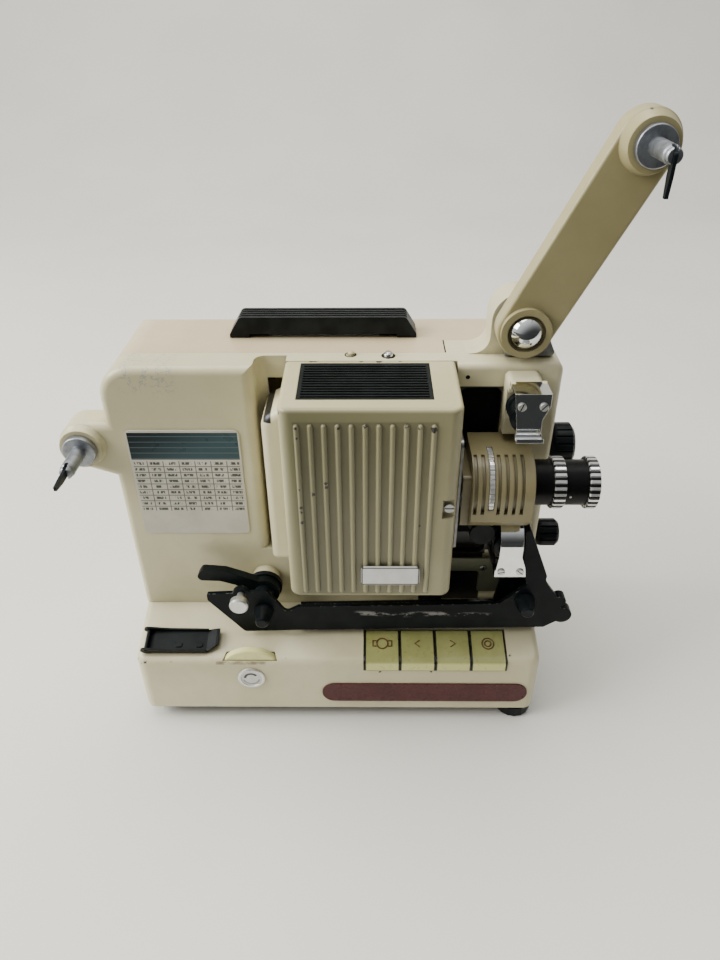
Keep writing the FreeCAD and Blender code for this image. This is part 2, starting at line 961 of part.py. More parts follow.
inner_half = cutter_half - S.cutter_sheet - S.loose_gap
pin_radius = S.cutter_ear / 3
cutter_base = fuse(
    box((-S.cutter_ear / 2, S.cutter_length - S.cutter_tab), (-inner_half, inner_half), (0, S.cutter_sheet)),
    box((-pin_radius, pin_radius), (-inner_half, inner_half), (0, cutter_axis)),
    rod("Y", (0, cutter_axis), (-inner_half, inner_half), pin_radius + S.side_gap),
    rod("Y", (0, cutter_axis), (-cutter_half - S.loose_gap, cutter_half + S.loose_gap), pin_radius),
    name="CutterBase")
node(lay_on_slope(cutter_base), "film_cutter_base")

cutter_lever = new_body("CutterChannel")
wall_top = cutter_floor + S.cutter_wall
tab_start = S.cutter_length - S.cutter_tab
pad(cutter_lever, "Y", (-cutter_half, cutter_half), [
    (-S.cutter_ear, cutter_axis - S.cutter_ear, S.cutter_ear - 0.1),
    (-S.cutter_ear, cutter_axis + S.cutter_ear, S.cutter_ear - 0.6),
    (S.cutter_length * 0.3, wall_top, 4),
    (tab_start, wall_top - 0.6),
    (tab_start, cutter_floor),
    (S.cutter_ear, cutter_floor),
    (S.cutter_ear - 0.5, cutter_axis - S.cutter_ear),
])
wall_half = cutter_half - S.cutter_sheet
pocket(cutter_lever, "Z", (cutter_floor + S.cutter_sheet, cutter_floor + S.cutter_wall * 3),
       rect((S.cutter_ear, S.cutter_length + 1), (-wall_half, wall_half)), name="Trough")
pocket(cutter_lever, "Z", (0, cutter_floor + S.cutter_wall * 3),
       rect((-S.cutter_ear - 1, S.cutter_ear + 0.1), (-wall_half, wall_half)), name="EarGap")
pad(cutter_lever, "Y", (-cutter_half, cutter_half), [
    (tab_start - 0.2, cutter_floor),
    (tab_start - 0.2, cutter_floor + S.cutter_sheet),
    (S.cutter_length - 1.6, wall_top - 0.4, 2),
    (S.cutter_length, wall_top - 0.4),
    (S.cutter_length, wall_top - 0.4 - S.cutter_sheet),
    (S.cutter_length - 1.4, wall_top - 0.4 - S.cutter_sheet, 1),
    (tab_start + 0.4, cutter_floor),
], name="LiftTab")
pocket(cutter_lever, "Z", (0, cutter_floor + S.cutter_wall * 3), [
    (tab_start, -cutter_half - 1),
    (tab_start, -cutter_half),
    (S.cutter_length + 1, S.cutter_tab_cut - cutter_half + 0.6),
    (S.cutter_length + 1, -cutter_half - 1),
], name="TabCorner")
pocket(cutter_lever, "Y", (-cutter_half - 1, cutter_half + 1),
       circles=[(0, cutter_axis, pin_radius + S.running_fit)], name="PinHole")
bump = pad(cutter_lever, "Z", (cutter_floor + S.cutter_sheet - 0.2, cutter_floor + S.cutter_sheet + 0.7),
           rect((S.bump_first, S.bump_first + S.bump_length), (S.bump_near, S.bump_far), 1.4), name="Bump")
repeat_along(cutter_lever, bump, "X", S.bump_pitch, 2)
node(lay_on_slope(cutter_lever), "film_cutter_lever")

# Front casting, which carries the film path

cast = new_body("FrontPan")
pad(cast, "Y", (S.cast_front, S.cast_back), [
    (S.cast_left, S.base_top),
    (S.cast_left, S.cast_top, S.cast_corner),
    (S.step_x, S.cast_top),
    (S.step_x, S.base_top),
], name="FrontPad")
pad(cast, "Y", (S.cast_front, S.lobe_back), [
    (S.lobe_left, S.lobe_top, S.lobe_radius),
    (S.lobe_root_x, S.lobe_top),
    (S.lobe_root_x, S.lobe_root_z),
    (S.lobe_left, S.lobe_low_z, S.lobe_radius * 0.9),
], name="TakeupLobe")
front_edges = [
    number for number in edges(cast.Shape, y=S.cast_front)
    if cast.Shape.Edges[number - 1].BoundBox.XMin < num(S.step_x) - 1
    and cast.Shape.Edges[number - 1].BoundBox.ZMax > num(S.base_top) + 1
]
soften(cast, S.cast_edge, front_edges, "FrontRound")
lamp_seat_left = S.lamp_left - S.lamp_seat_gap
lamp_seat_back = S.lamp_back + S.slide_gap
pocket(cast, "Z", (S.recess_bottom, S.cast_top + 1), [
    (S.recess_left - S.recess_round * 1.5, S.cast_front - 2),
    (lamp_seat_left + 1, S.cast_front - 2),
    (lamp_seat_left + 1, S.recess_floor),
    (S.recess_left, S.recess_floor, S.recess_round),
    (S.recess_left, S.cast_front, S.recess_round),
    (S.recess_left - S.recess_round * 1.5, S.cast_front),
], name="SideRecess")
pocket(cast, "Y", (S.cast_front - 1, lamp_seat_back), [
    (lamp_seat_left, S.lamp_bottom - S.lamp_seat_gap),
    (S.step_x, S.lamp_bottom - S.lamp_seat_gap),
    (S.step_x, S.cast_top + 1),
    (lamp_seat_left, S.cast_top + 1),
], name="LampSeat")
film_side = new_body("FilmSide")
pad(film_side, "Y", (S.step_front, S.step_back), [
    (S.step_left, S.base_top),
    (S.step_left, S.cast_top),
    (S.cast_right, S.cast_top, S.cast_low_corner),
    (S.cast_right, S.base_top),
], name="FilmSidePad")
side_edges = edges(film_side.Shape, y=S.step_front, z=(S.base_top + 1, S.cast_top))
side_edges += edges(film_side.Shape, x=S.cast_right, y=S.step_front)
soften(film_side, S.cast_low_corner * 0.7, sorted(set(side_edges)), "FilmSideRound")
pocket(film_side, "Y", (S.step_front + S.step_front_wall, S.step_back + 1), rect(
    (S.step_left + S.step_front_wall, S.cast_right - S.cast_wall),
    (S.base_top + S.cast_wall, S.cast_top - S.cast_wall), S.cast_wall), name="DriveRoom")
pocket(film_side, "Y", (S.step_front - 1, lamp_seat_back), rect(
    (S.step_left - 1, S.step_x), (S.lamp_bottom - S.lamp_seat_gap, S.cast_top + 1)), name="LampSeatEnd")
pocket(film_side, "Y", (S.step_front - 1, S.step_front + S.chamber_depth), rect(
    (S.chamber_left, S.chamber_right), (S.chamber_bottom, S.chamber_top), S.cast_wall), name="FilmChamber")
lamp_window = box((S.lamp_left + 5, S.shutter_x + S.shutter_thick + 1.5),
                  (lamp_seat_back - 1, S.cast_back + 1),
                  (S.lamp_bottom + 6, S.cast_top - 8), "LampWindow")
side_window = box((S.window_left, lamp_seat_left + 1), (S.recess_floor - 1, S.cast_back + 1),
                  (S.window_bottom, S.window_top), "SideWindow")

rib = new_body("LampRib")
pad(rib, "Y", (S.rib_front, S.recess_floor), [
    (S.rib_left, S.rib_bottom, 3),
    (S.rib_left, S.rib_top, 9),
    (S.lamp_left - S.lamp_seat_gap, S.rib_top + 6),
    (S.lamp_left - S.lamp_seat_gap, S.rib_bottom),
])
rib_edges = [
    number for number in edges(rib.Shape, y=S.rib_front)
    if rib.Shape.Edges[number - 1].BoundBox.XMin < num(S.lamp_left) - 2
]
soften(rib, 4.5, rib_edges, "RibRound")

ear = new_body("ArmEar")
ear_radius = S.arm_radius + 0.6
pad(ear, "Y", (S.ear_front, S.ear_back), [
    (S.arm_x - ear_radius - 12, S.cast_top - 2),
    (S.arm_x - ear_radius - 12, S.cast_top),
    (S.arm_x - ear_radius, S.cast_top + 1.5, 9),
    (S.arm_x - ear_radius, S.arm_z + ear_radius, ear_radius - S.running_fit),
    (S.arm_x + ear_radius, S.arm_z + ear_radius, ear_radius - S.running_fit),
    (S.arm_x + ear_radius, S.cast_top + 8, 9),
    (S.cast_right - 4, S.cast_top),
    (S.cast_right - 4, S.cast_top - 2),
])
upper_z = S.lens_z + S.sprocket_offset
lower_z = S.lens_z - S.sprocket_offset
boss_face = S.sprocket_back + S.slide_gap + 0.3
upper_boss = box((S.shoe_left, S.shoe_right), (boss_face, S.step_front + 1),
                 (upper_z - 18, S.boss_low + 1), "UpperBoss")
head_front = S.shoe_hinge_y + S.hinge_inset + S.loose_gap
boss_head = box((S.shoe_left, S.shoe_right), (head_front, S.step_front + 1), (S.boss_low, S.boss_top),
                "BossHead")
doc.recompute()
head_edges = (edges(boss_head.Shape, x=S.shoe_left, z=S.boss_top)
              + edges(boss_head.Shape, x=S.shoe_right, z=S.boss_top))
boss_head = rounded(boss_head, 3, head_edges, "BossHeadRound")
pillar = rod("Y", (S.pillar_x, S.pillar_z), (S.pillar_front, S.cast_front + 1), S.pillar_radius, "Pillar")
takeup_foot = cone("Y", (S.takeup_x, S.takeup_z), (S.boss_front + 2, S.cast_front + 0.5),
                   (S.boss_radius, S.boss_radius + 1.6), "TakeupFoot")
takeup_boss = rod("Y", (S.takeup_x, S.takeup_z), (S.boss_front, S.cast_front + 0.5), S.boss_radius,
                  "TakeupBoss")
chute_post = rod("Y", (S.post_x, S.post_z), (S.chute_back, S.step_front + 1), S.roller_radius, "ChutePost")

upper_hinge = S.shoe_top - S.hinge_inset
lower_hinge = S.low_shoe_bottom + S.hinge_inset
hinge_ears = []
hinge_bores = []
for hinge_z, left, right, root_y, high in (
        (upper_hinge, S.shoe_left, S.shoe_right, head_front + 1, S.boss_top - 1.5),
        (lower_hinge, S.low_shoe_left, S.low_hinge_right, S.step_front + 1, lower_hinge + S.cheek_radius)):
    for ear_low, ear_high in ((left, left + S.cheek_width), (right - S.cheek_width, right)):
        hinge_ears.append(box((ear_low, ear_high), (S.shoe_hinge_y, root_y),
                              (hinge_z - S.cheek_radius, high), "Cheek"))
        hinge_ears.append(rod("X", (S.shoe_hinge_y, hinge_z), (ear_low, ear_high), S.cheek_radius, "Eye"))
    hinge_bores.append(rod("X", (S.shoe_hinge_y, hinge_z), (left - 1, right + 1),
                           S.hinge_pin + S.running_fit, "HingeBore"))
solid_cast = fuse(cast, film_side, rib, ear, upper_boss, boss_head, pillar, takeup_foot, takeup_boss,
                  chute_post, *hinge_ears, name="CastJoined")
sprocket_bores = [
    rod("Y", (S.sprocket_x, height), (S.sprocket_back, S.cast_back), S.sprocket_shaft + S.running_fit,
        "SprocketBore")
    for height in (upper_z, lower_z)
]
main_bore = rod("X", (S.shaft_y, S.shaft_z), (S.step_left - 1, S.cast_right + 1),
                S.shaft_radius + S.running_fit)
framing_bore = rod("X", (S.framing_y, S.framing_z), (S.cast_right - 10, S.cast_right + 1),
                   S.shaft_radius + S.running_fit)
pivot_bore = rod("Y", (S.arm_x, S.arm_z), (S.ear_front - 1, S.ear_back + 1), S.pivot_radius)
takeup_bore = rod("Y", (S.takeup_x, S.takeup_z), (S.boss_front - 1, S.lobe_back - 2),
                  S.spindle_root_radius + S.running_fit)
button_bore = rod("Z", (S.button_x, S.button_y), (S.cast_top - 12, S.cast_top + 1),
                  S.button_radius + S.running_fit * 4)
node(cut(solid_cast, lamp_window, side_window, main_bore, framing_bore, pivot_bore, takeup_bore, button_bore,
         *sprocket_bores, *hinge_bores, name="FrontCasting"), "front_casting")

# Rear cover over the drive


def cover_block(inset, name):
    """Closed form of the rear cover, drawn in by an inset."""
    body = new_body(name)
    lowest = S.base_top - inset
    pad(body, "Y", (S.cast_back, S.cover_back - inset), [
        (-S.cover_side + inset, lowest),
        (-S.cover_side + inset, S.cast_top - inset, S.cast_corner - inset),
        (S.cover_side - inset, S.cast_top - inset, S.cast_corner - inset),
        (S.cover_side - inset, lowest),
    ])
    pocket(body, "X", (-S.cover_side - 1, S.cover_side + 1), [
        (S.cover_slope_y - inset / 4, S.cast_top - inset, S.cover_round),
        (S.cover_back - inset, S.cover_slope_z - inset * 0.7, S.cover_round),
        (S.cover_back - inset, S.cover_slope_z - 30),
        (S.cover_back + 30, S.cover_slope_z - 30),
        (S.cover_back + 30, S.cast_top + 30),
        (S.cast_back + 10, S.cast_top + 30),
        (S.cast_back + 10, S.cast_top - inset),
    ], name="RearSlope")
    return body


cover_shell = cover_block(0, "CoverOuter")
vent_slot = pocket(cover_shell, "Y", (S.cover_back - S.cover_wall - 2, S.cover_back + 1),
                   rect((S.vent_left, S.vent_left + S.vent_width), (S.vent_bottom, S.vent_top)),
                   name="Louvre")
repeat_along(cover_shell, vent_slot, "X", S.vent_pitch, S.vent_count)
cover_room = cover_block(S.cover_wall, "CoverInner")
step_notch = box((S.step_left - S.loose_gap, S.cover_side + 5),
                 (S.cast_back - 1, S.step_back + S.running_fit),
                 (S.base_top - 1, S.cast_top + 1), "StepNotch")
inlet_hole = box((S.inlet_x - S.inlet_width / 2 - S.running_fit,
                  S.inlet_x + S.inlet_width / 2 + S.running_fit),
                 (S.cover_back - 10, S.cover_back + 1),
                 (S.inlet_z - S.inlet_height / 2 - S.running_fit,
                  S.inlet_z + S.inlet_height / 2 + S.running_fit),
                 "InletHole")
handle_mid = (S.handle_front + S.handle_back) / 2
post_spans = (
    (S.handle_left + 9, S.handle_left + 9 + S.post_width),
    (S.handle_right - 9 - S.post_width, S.handle_right - 9),
)
post_depth = (handle_mid - S.post_thick / 2, handle_mid + S.post_thick / 2)
post_slots = [
    box((low - S.loose_gap, high + S.loose_gap), (post_depth[0] - S.loose_gap, post_depth[1] + S.loose_gap),
        (S.cast_top - 12, S.cast_top + 1), "PostSlot")
    for low, high in post_spans
]
rear_cover = cut(cover_shell, cover_room, step_notch, inlet_hole, *post_slots, name="RearCover")
node(rear_cover, "rear_cover")

inlet_half = S.inlet_width / 2
inlet_rise = S.inlet_height / 2
inlet_block = box((S.inlet_x - inlet_half, S.inlet_x + inlet_half), (S.cover_back - 16, S.cover_back),
                  (S.inlet_z - inlet_rise, S.inlet_z + inlet_rise), "InletBlock")
inlet_flange = new_body("InletFlange")
pad(inlet_flange, "Y", (S.cover_back, S.cover_back + 1), rect(
    (S.inlet_x - inlet_half - 3, S.inlet_x + inlet_half + 3),
    (S.inlet_z - inlet_rise - 3, S.inlet_z + inlet_rise + 3), 3))
inlet_well = box((S.inlet_x - inlet_half + 3, S.inlet_x + inlet_half - 3),
                 (S.cover_back - 13, S.cover_back + 2),
                 (S.inlet_z - inlet_rise + 4, S.inlet_z + inlet_rise - 4), "InletWell")
inlet_pins = [
    rod("Y", (S.inlet_x + side * S.inlet_pin_offset, S.inlet_z), (S.cover_back - 14, S.cover_back - 3),
        S.inlet_pin_radius, "InletPin")
    for side in (-1, 1)
]
inlet_shell = cut(fuse(inlet_block, inlet_flange, name="InletSolid"), inlet_well, name="InletShell")
node(fuse(inlet_shell, *inlet_pins, name="Inlet"), "mains_inlet")

# Carry handle that pulls up out of the rear cover

grip = new_body("HandleGrip")
pad(grip, "Y", (S.handle_front, S.handle_back), [
    (S.handle_left, S.handle_bottom),
    (S.handle_left + S.handle_slant, S.handle_top, 3),
    (S.handle_right - S.handle_slant, S.handle_top, 3),
    (S.handle_right, S.handle_bottom),
])
handle_groove = pocket(grip, "X", (S.handle_left - 1, S.handle_right + 1), [
    (S.handle_front + 2.4, S.handle_top + 1),
    (S.handle_front + 2.4, S.handle_top - 1.2, 0.5),
    (S.handle_front + 3.8, S.handle_top - 1.2, 0.5),
    (S.handle_front + 3.8, S.handle_top + 1),
], name="GripGroove")
repeat_along(grip, handle_groove, "Y", 2.95, 4)
pads_under = [
    box((start, start + S.handle_end), (S.handle_front, S.handle_back),
        (S.cast_top + S.loose_gap, S.handle_bottom), "GripEnd")
    for start in (S.handle_left, S.handle_right - S.handle_end)
]
stop_top = S.cast_top - S.cover_wall - S.handle_travel - S.loose_gap
posts = []
for low, high in post_spans:
    posts.append(box((low, high), post_depth, (stop_top - 2, S.handle_bottom + 1), "Post"))
    posts.append(box((low - 2, high + 2), post_depth, (stop_top - 2, stop_top), "PostStop"))
node(fuse(grip, *pads_under, *posts, name="Handle"), "carry_handle")

# Lamp house cover with its raised ribs


def lamp_block(inset, back, name):
    """Closed form of the lamp house, drawn in by an inset."""
    body = new_body(name)
    pad(body, "X", (S.lamp_left + inset, S.lamp_right - inset), [
        (S.lamp_front + inset, S.lamp_bottom + inset),
        (S.lamp_front + inset, S.cast_top - S.lamp_top_drop - inset),
        (back, S.cast_top - inset),
        (back, S.lamp_bottom + inset),
    ])
    uprights = edges(body.Shape, x=S.lamp_left + inset, y=S.lamp_front + inset)
    uprights += edges(body.Shape, x=S.lamp_right - inset, y=S.lamp_front + inset)
    soften(body, S.lamp_corner - inset, uprights, "Corners")
    return body


lamp_shell = lamp_block(0, S.lamp_back, "LampOuter")
front_rim = edges(lamp_shell.Shape, y=(S.lamp_front, S.lamp_front + S.lamp_corner), z=S.lamp_bottom)
front_rim += edges(lamp_shell.Shape, y=(S.lamp_front, S.lamp_front + S.lamp_corner),
                   z=(S.cast_top - S.lamp_top_drop - 1, S.cast_top))
soften(lamp_shell, S.lamp_edge, sorted(set(front_rim)), "FrontRim")
flute_y = S.lamp_front - S.flute_depth + S.flute_radius
flute_low = S.flute_bottom + S.flute_radius
flute_high = S.flute_top - S.flute_radius
flutes = []
for index in range(whole(S.flute_count)):
    flute_x = S.flute_first + S.flute_pitch * index
    flutes.append(rod("Z", (flute_x, flute_y), (flute_low, flute_high), S.flute_radius, "Flute"))
    flutes.append(ball((flute_x, flute_y, flute_low), S.flute_radius, "FluteFoot"))
    flutes.append(ball((flute_x, flute_y, flute_high), S.flute_radius, "FluteHead"))
lamp_room = lamp_block(S.lamp_wall, S.lamp_back + 5, "LampInner")
grille_hole = box((S.grille_left, S.grille_right), (S.grille_front, S.grille_back),
                  (S.cast_top - 12, S.cast_top + 2), "GrilleHole")
light_slot = box((S.lamp_right - 6, S.lamp_right + 2), (S.lens_y - S.light_slot_half_width, S.lamp_back + 2),
                 (S.lens_z - S.light_slot_half_height, S.lens_z + S.light_slot_half_height), "LightSlot")
notch_span = (S.notch_z - S.notch_height / 2, S.notch_z + S.notch_height / 2)
notch_block = box((S.lamp_right - S.notch_width - 3, S.lamp_right - S.lamp_wall / 2),
                  (S.lamp_front + S.lamp_wall / 2, S.lamp_front + S.notch_depth + 3),
                  (notch_span[0] - 3, notch_span[1] + 3), "NotchBlock")
notch = box((S.lamp_right - S.notch_width, S.lamp_right + 1),
            (S.lamp_front - 3, S.lamp_front + S.notch_depth),
            notch_span, "ScrewNotch")
screw_x = S.lamp_right - S.notch_width / 2 - 0.2
screw_bore = rod("Y", (screw_x, S.notch_z), (S.lamp_front + 1, S.lamp_front + 8),
                 S.cover_screw_radius / 2, "ScrewBore")
hollow_lamp = cut(fuse(lamp_shell, *flutes, name="LampRibbed"), lamp_room, grille_hole, name="LampHollow")
corner_block = common(notch_block, lamp_block(0, S.lamp_back, "LampLimit"), "NotchCorner")
lamp_joined = fuse(hollow_lamp, corner_block, name="LampJoined")
node(cut(lamp_joined, light_slot, notch, screw_bore, name="LampCover"), "lamp_cover")
screw_head = rod("Y", (screw_x, S.notch_z),
                 (S.lamp_front + S.notch_depth - 1.8, S.lamp_front + S.notch_depth), S.cover_screw_radius,
                 "ScrewHead")
screw_stem = rod("Y", (screw_x, S.notch_z),
                 (S.lamp_front + S.notch_depth - 1, S.lamp_front + S.notch_depth + 4),
                 S.cover_screw_radius / 2, "ScrewStem")
screw_slot = box((screw_x - 4, screw_x + 4), (S.lamp_front, S.lamp_front + S.notch_depth - 1.1),
                 (S.notch_z - 0.4, S.notch_z + 0.4), "ScrewSlot")
node(cut(fuse(screw_head, screw_stem, name="Screw"), screw_slot, name="CoverScrew"), "cover_screw")

lamp_top_rate = S.lamp_top_drop / (S.lamp_back - S.lamp_front)
lamp_top_angle = math.degrees(math.atan(num(lamp_top_rate)))


def lamp_top_height(y):
    """Height of the lamp house's sloping top above the table."""
    return S.cast_top - lamp_top_rate * (S.lamp_back - y)


grille = new_body("GrillePlate")
pad(grille, "Z", (-S.grille_thick, 0), rect(
    (S.grille_left, S.grille_right), (0, S.grille_back - S.grille_front - S.running_fit * 3)),
    name="GrillePad")
grille_slot = pocket(grille, "Z", (-S.grille_thick - 1, 1), rect(
    (S.grille_left + S.grille_rim, S.grille_right - S.grille_rim),
    (S.grille_rim, S.grille_rim + S.grille_slot)), name="GrilleSlot")
repeat_along(grille, grille_slot, "Y", S.grille_pitch, S.grille_slots)
grille.Placement = FreeCAD.Placement(Vector(), FreeCAD.Rotation(Vector(1, 0, 0), lamp_top_angle))
put(grille, 0, S.grille_front + S.running_fit, lamp_top_height(S.grille_front + S.running_fit))
node(grille, "lamp_grille")

badge = new_body("BadgePlate")
badge_front = S.lamp_front - S.flute_depth
pad(badge, "Y", (badge_front - S.badge_thick, badge_front), rect(
    (S.badge_left, S.badge_right), (S.badge_bottom, S.badge_top), 2.5))
node(badge, "badge_plate")

# Small pieces on the film side


def ring(axis, centre, span, outer, inner, name="Ring"):
    """Plain ring along an axis."""
    longer = (span[0] - 1, span[1] + 1)
    return cut(rod(axis, centre, span, outer), rod(axis, centre, longer, inner), name=name)


def tooth_gap_outline(radius, depth, half):
    """Three-cornered notch in a rim at the body's +X side."""
    return [(radius - depth, 0), (radius + 1, -half), (radius + 1, half)]


chamber_floor = S.step_front + S.chamber_depth
liner = new_body("ChamberLiner")
pad(liner, "Y", (chamber_floor - S.liner_thick, chamber_floor), rect(
    (S.chamber_left + S.loose_gap, S.chamber_right - S.loose_gap),
    (S.low_shoe_bottom + 6, S.chamber_top - S.loose_gap), S.cast_wall))
node(liner, "film_path_liner")

gate = new_body("GatePlate")
pad(gate, "X", (S.gate_left, S.gate_left + S.gate_thick), rect(
    (S.gate_front, S.step_front), (S.gate_bottom, S.gate_top), 3))
pocket(gate, "X", (S.gate_left - 1, S.gate_left + S.gate_thick + 1), rect(
    (S.lens_y - S.gate_window_wide / 2, S.lens_y + S.gate_window_wide / 2),
    (S.lens_z - S.gate_window_high / 2, S.lens_z + S.gate_window_high / 2), 0.5), name="FrameWindow")
node(gate, "gate_plate")

# Lens carrier, focus ring and lens

axis_point = (S.lens_y, S.lens_z)
carrier_back = S.step_front - S.loose_gap
carrier_low = S.lens_z - S.carrier_radius - S.carrier_lip
carrier = new_body("CarrierBlock")
pad(carrier, "X", (S.carrier_left, S.carrier_right), [
    (S.lens_y - S.carrier_radius, S.carrier_chin, 1.5),
    (S.lens_y - S.carrier_radius, S.lens_z + S.carrier_radius, S.carrier_radius * 0.97),
    (carrier_back, S.lens_z + S.carrier_radius),
    (carrier_back, carrier_low),
    (S.lens_y - S.carrier_radius / 2, carrier_low),
])
flange_left = S.gate_left + S.gate_thick + S.film_gap + S.pressure_thick
pad(carrier, "X", (flange_left, S.carrier_left), rect(
    (S.flange_front, carrier_back), (carrier_low, S.flange_top), 2), name="CarrierFlange")
groove_tools = []
for index in range(whole(S.groove_count)):
    middle = S.groove_first + S.groove_pitch * index
    if num(S.focus_left) - 1 < num(middle) < num(S.focus_left + S.focus_width) + 1:
        continue
    groove_ring = ring("X", axis_point, (middle - S.groove_width / 2, middle + S.groove_width / 2),
                       S.carrier_radius + 4, S.carrier_radius - S.groove_depth, "GrooveRing")
    groove_limit = box((middle - 2, middle + 2), (S.lens_y - 40, S.groove_back),
                       (S.groove_low, S.lens_z + S.carrier_radius + 2), "GrooveLimit")
    groove_tools.append(common(groove_ring, groove_limit, "Groove"))
focus_slot = ring("X", axis_point, (S.focus_left - S.side_gap, S.focus_left + S.focus_width + S.side_gap),
                  S.focus_radius + S.loose_gap, S.focus_sleeve, "FocusSlot")
barrel_bore = rod("X", axis_point, (S.carrier_left + 0.5, S.carrier_right + 1),
                  S.barrel_radius + S.running_fit)
light_bore = rod("X", axis_point, (S.gate_left, S.carrier_left + 2), S.barrel_radius * 0.64)
node(cut(carrier, barrel_bore, light_bore, focus_slot, *groove_tools, name="Carrier"), "lens_carrier")

pressure = new_body("PressurePlate")
pad(pressure, "X", (flange_left - S.pressure_thick, flange_left), rect(
    (S.lens_y - 5.5, S.lens_y + 5.5), (S.lens_z - 14, S.flange_top - 0.5), 1.5))
pocket(pressure, "X", (flange_left - S.pressure_thick - 1, flange_left + 1), rect(
    (S.lens_y - S.gate_window_wide / 2 - 0.5, S.lens_y + S.gate_window_wide / 2 + 0.5),
    (S.lens_z - S.gate_window_high / 2 - 0.5, S.lens_z + S.gate_window_high / 2 + 0.5)), name="PlateWindow")
node(pressure, "pressure_plate")


def grip_ring(name, span, outer, inner, bars, depth):
    """Ring along the lens axis with notches round its rim."""
    body = new_body(name)
    spin(body, [(inner, 0), (outer, 0, 0.4), (outer, span[1] - span[0], 0.4), (inner, span[1] - span[0])])
    gap = pocket(body, "Z", (-1, span[1] - span[0] + 1),
                 tooth_gap_outline(outer, depth, outer * 1.6 / bars), name="BarGap")
    repeat_round(body, gap, bars)
    aim(body, "X", axis_point, span[0])
    return body


node(grip_ring("FocusRing", (S.focus_left, S.focus_left + S.focus_width), S.focus_radius,
               S.focus_sleeve + S.side_gap, S.focus_teeth, S.groove_depth / 2), "focus_ring")
barrel = new_body("Barrel")
spin(barrel, [
    (0, S.barrel_left + 4),
    (S.barrel_radius * 0.56, S.barrel_left + 4),
    (S.barrel_radius * 0.64, S.barrel_left),
    (S.barrel_radius, S.barrel_left, 0.5),
    (S.barrel_radius, S.barrel_right, 0.5),
    (S.glass_radius + 1.6, S.barrel_right),
    (S.glass_radius, S.barrel_right - 5),
    (0, S.barrel_right - 5),
])
aim(barrel, "X", axis_point, 0)
node(barrel, "lens_barrel")
node(grip_ring("ZoomRing", (S.zoom_left, S.zoom_right), S.ring_radius,
               S.barrel_radius + S.running_fit, S.ring_bars, S.bar_depth), "zoom_ring")
node(grip_ring("FrontRing", (S.front_ring_left, S.front_ring_right), S.ring_radius,
               S.barrel_radius, S.ring_bars, S.bar_depth), "lens_front_ring")
glass_curve = S.glass_radius * 2.6
glass = common(
    rod("X", axis_point, (S.barrel_right - 5, S.barrel_right - 1), S.glass_radius - S.running_fit),
    ball((S.barrel_right - 2.2 - glass_curve, S.lens_y, S.lens_z), glass_curve), "Glass")
node(glass, "lens_glass")

# Sprockets, their shoes and the loop guide

film_low = S.lens_y - S.film_width / 2 + 2
for height, word in ((upper_z, "upper"), (lower_z, "lower")):
    sprocket = new_body("Sprocket")
    spin(sprocket, [
        (0, S.sprocket_front),
        (S.sprocket_radius - 2.4, S.sprocket_front),
        (S.sprocket_radius, S.sprocket_front + 1.2),
        (S.sprocket_radius, film_low),
        (S.sprocket_drum, film_low + 0.6),
        (S.sprocket_drum, film_low + S.film_width),
        (S.sprocket_radius, film_low + S.film_width + 0.6),
        (S.sprocket_radius, S.sprocket_back),
        (S.sprocket_shaft, S.sprocket_back),
        (S.sprocket_shaft, S.shaft_y - S.shaft_radius),
        (0, S.shaft_y - S.shaft_radius),
    ])
    tooth = pad(sprocket, "Z", (film_low + 0.9, film_low + 2.1), [
        (S.sprocket_drum - 0.6, -0.7),
        (S.sprocket_drum + 1.1, -0.3),
        (S.sprocket_drum + 1.1, 0.3),
        (S.sprocket_drum - 0.6, 0.7),
    ], name="Tooth")
    repeat_round(sprocket, tooth, S.sprocket_teeth)
    aim(sprocket, "Y", (S.sprocket_x, height), 0)
    node(sprocket, word + "_sprocket")


def film_shoe(name, hinge_z, up, left, right, face_corners, wall_corners):
    """Chrome cover over a sprocket; its hinge runs from left to right, at the upper end when up is 1."""
    face = new_body("ShoeFace")
    pad(face, "Y", (S.shoe_front, S.shoe_front + S.shoe_sheet), face_corners)
    for corners in wall_corners:
        pad(face, "Y", (S.shoe_front, S.shoe_front + S.shoe_wall), corners, name="ShoeWall")
    near_z = hinge_z + up * S.hinge_inset
    shelf_span = (near_z - S.shoe_sheet, near_z) if up > 0 else (near_z, near_z + S.shoe_sheet)
    shelf_back = S.shoe_hinge_y - S.cheek_radius - S.loose_gap
    roll_span = (left + S.cheek_width + S.side_gap, right - S.cheek_width - S.side_gap)
    shelf = box((left, right), (S.shoe_front, shelf_back), shelf_span, "Shelf")
    tongue = box(roll_span, (shelf_back - 1, S.shoe_hinge_y), shelf_span, "Tongue")
    roll = rod("X", (S.shoe_hinge_y, hinge_z), roll_span, S.hinge_inset, "Roll")
    pin = rod("X", (S.shoe_hinge_y, hinge_z), (left + S.loose_gap, right - S.loose_gap), S.hinge_pin,
              "HingePin")
    return fuse(face, shelf, tongue, roll, pin, name=name)


def sheet_strip(x_top, z_top, x_bottom, z_bottom):
    """Outline of a sheet wall that runs down the side of a shoe; x is its left side."""
    return [
        (x_top, z_top),
        (x_top + S.shoe_sheet, z_top),
        (x_bottom + S.shoe_sheet, z_bottom),
        (x_bottom, z_bottom),
    ]


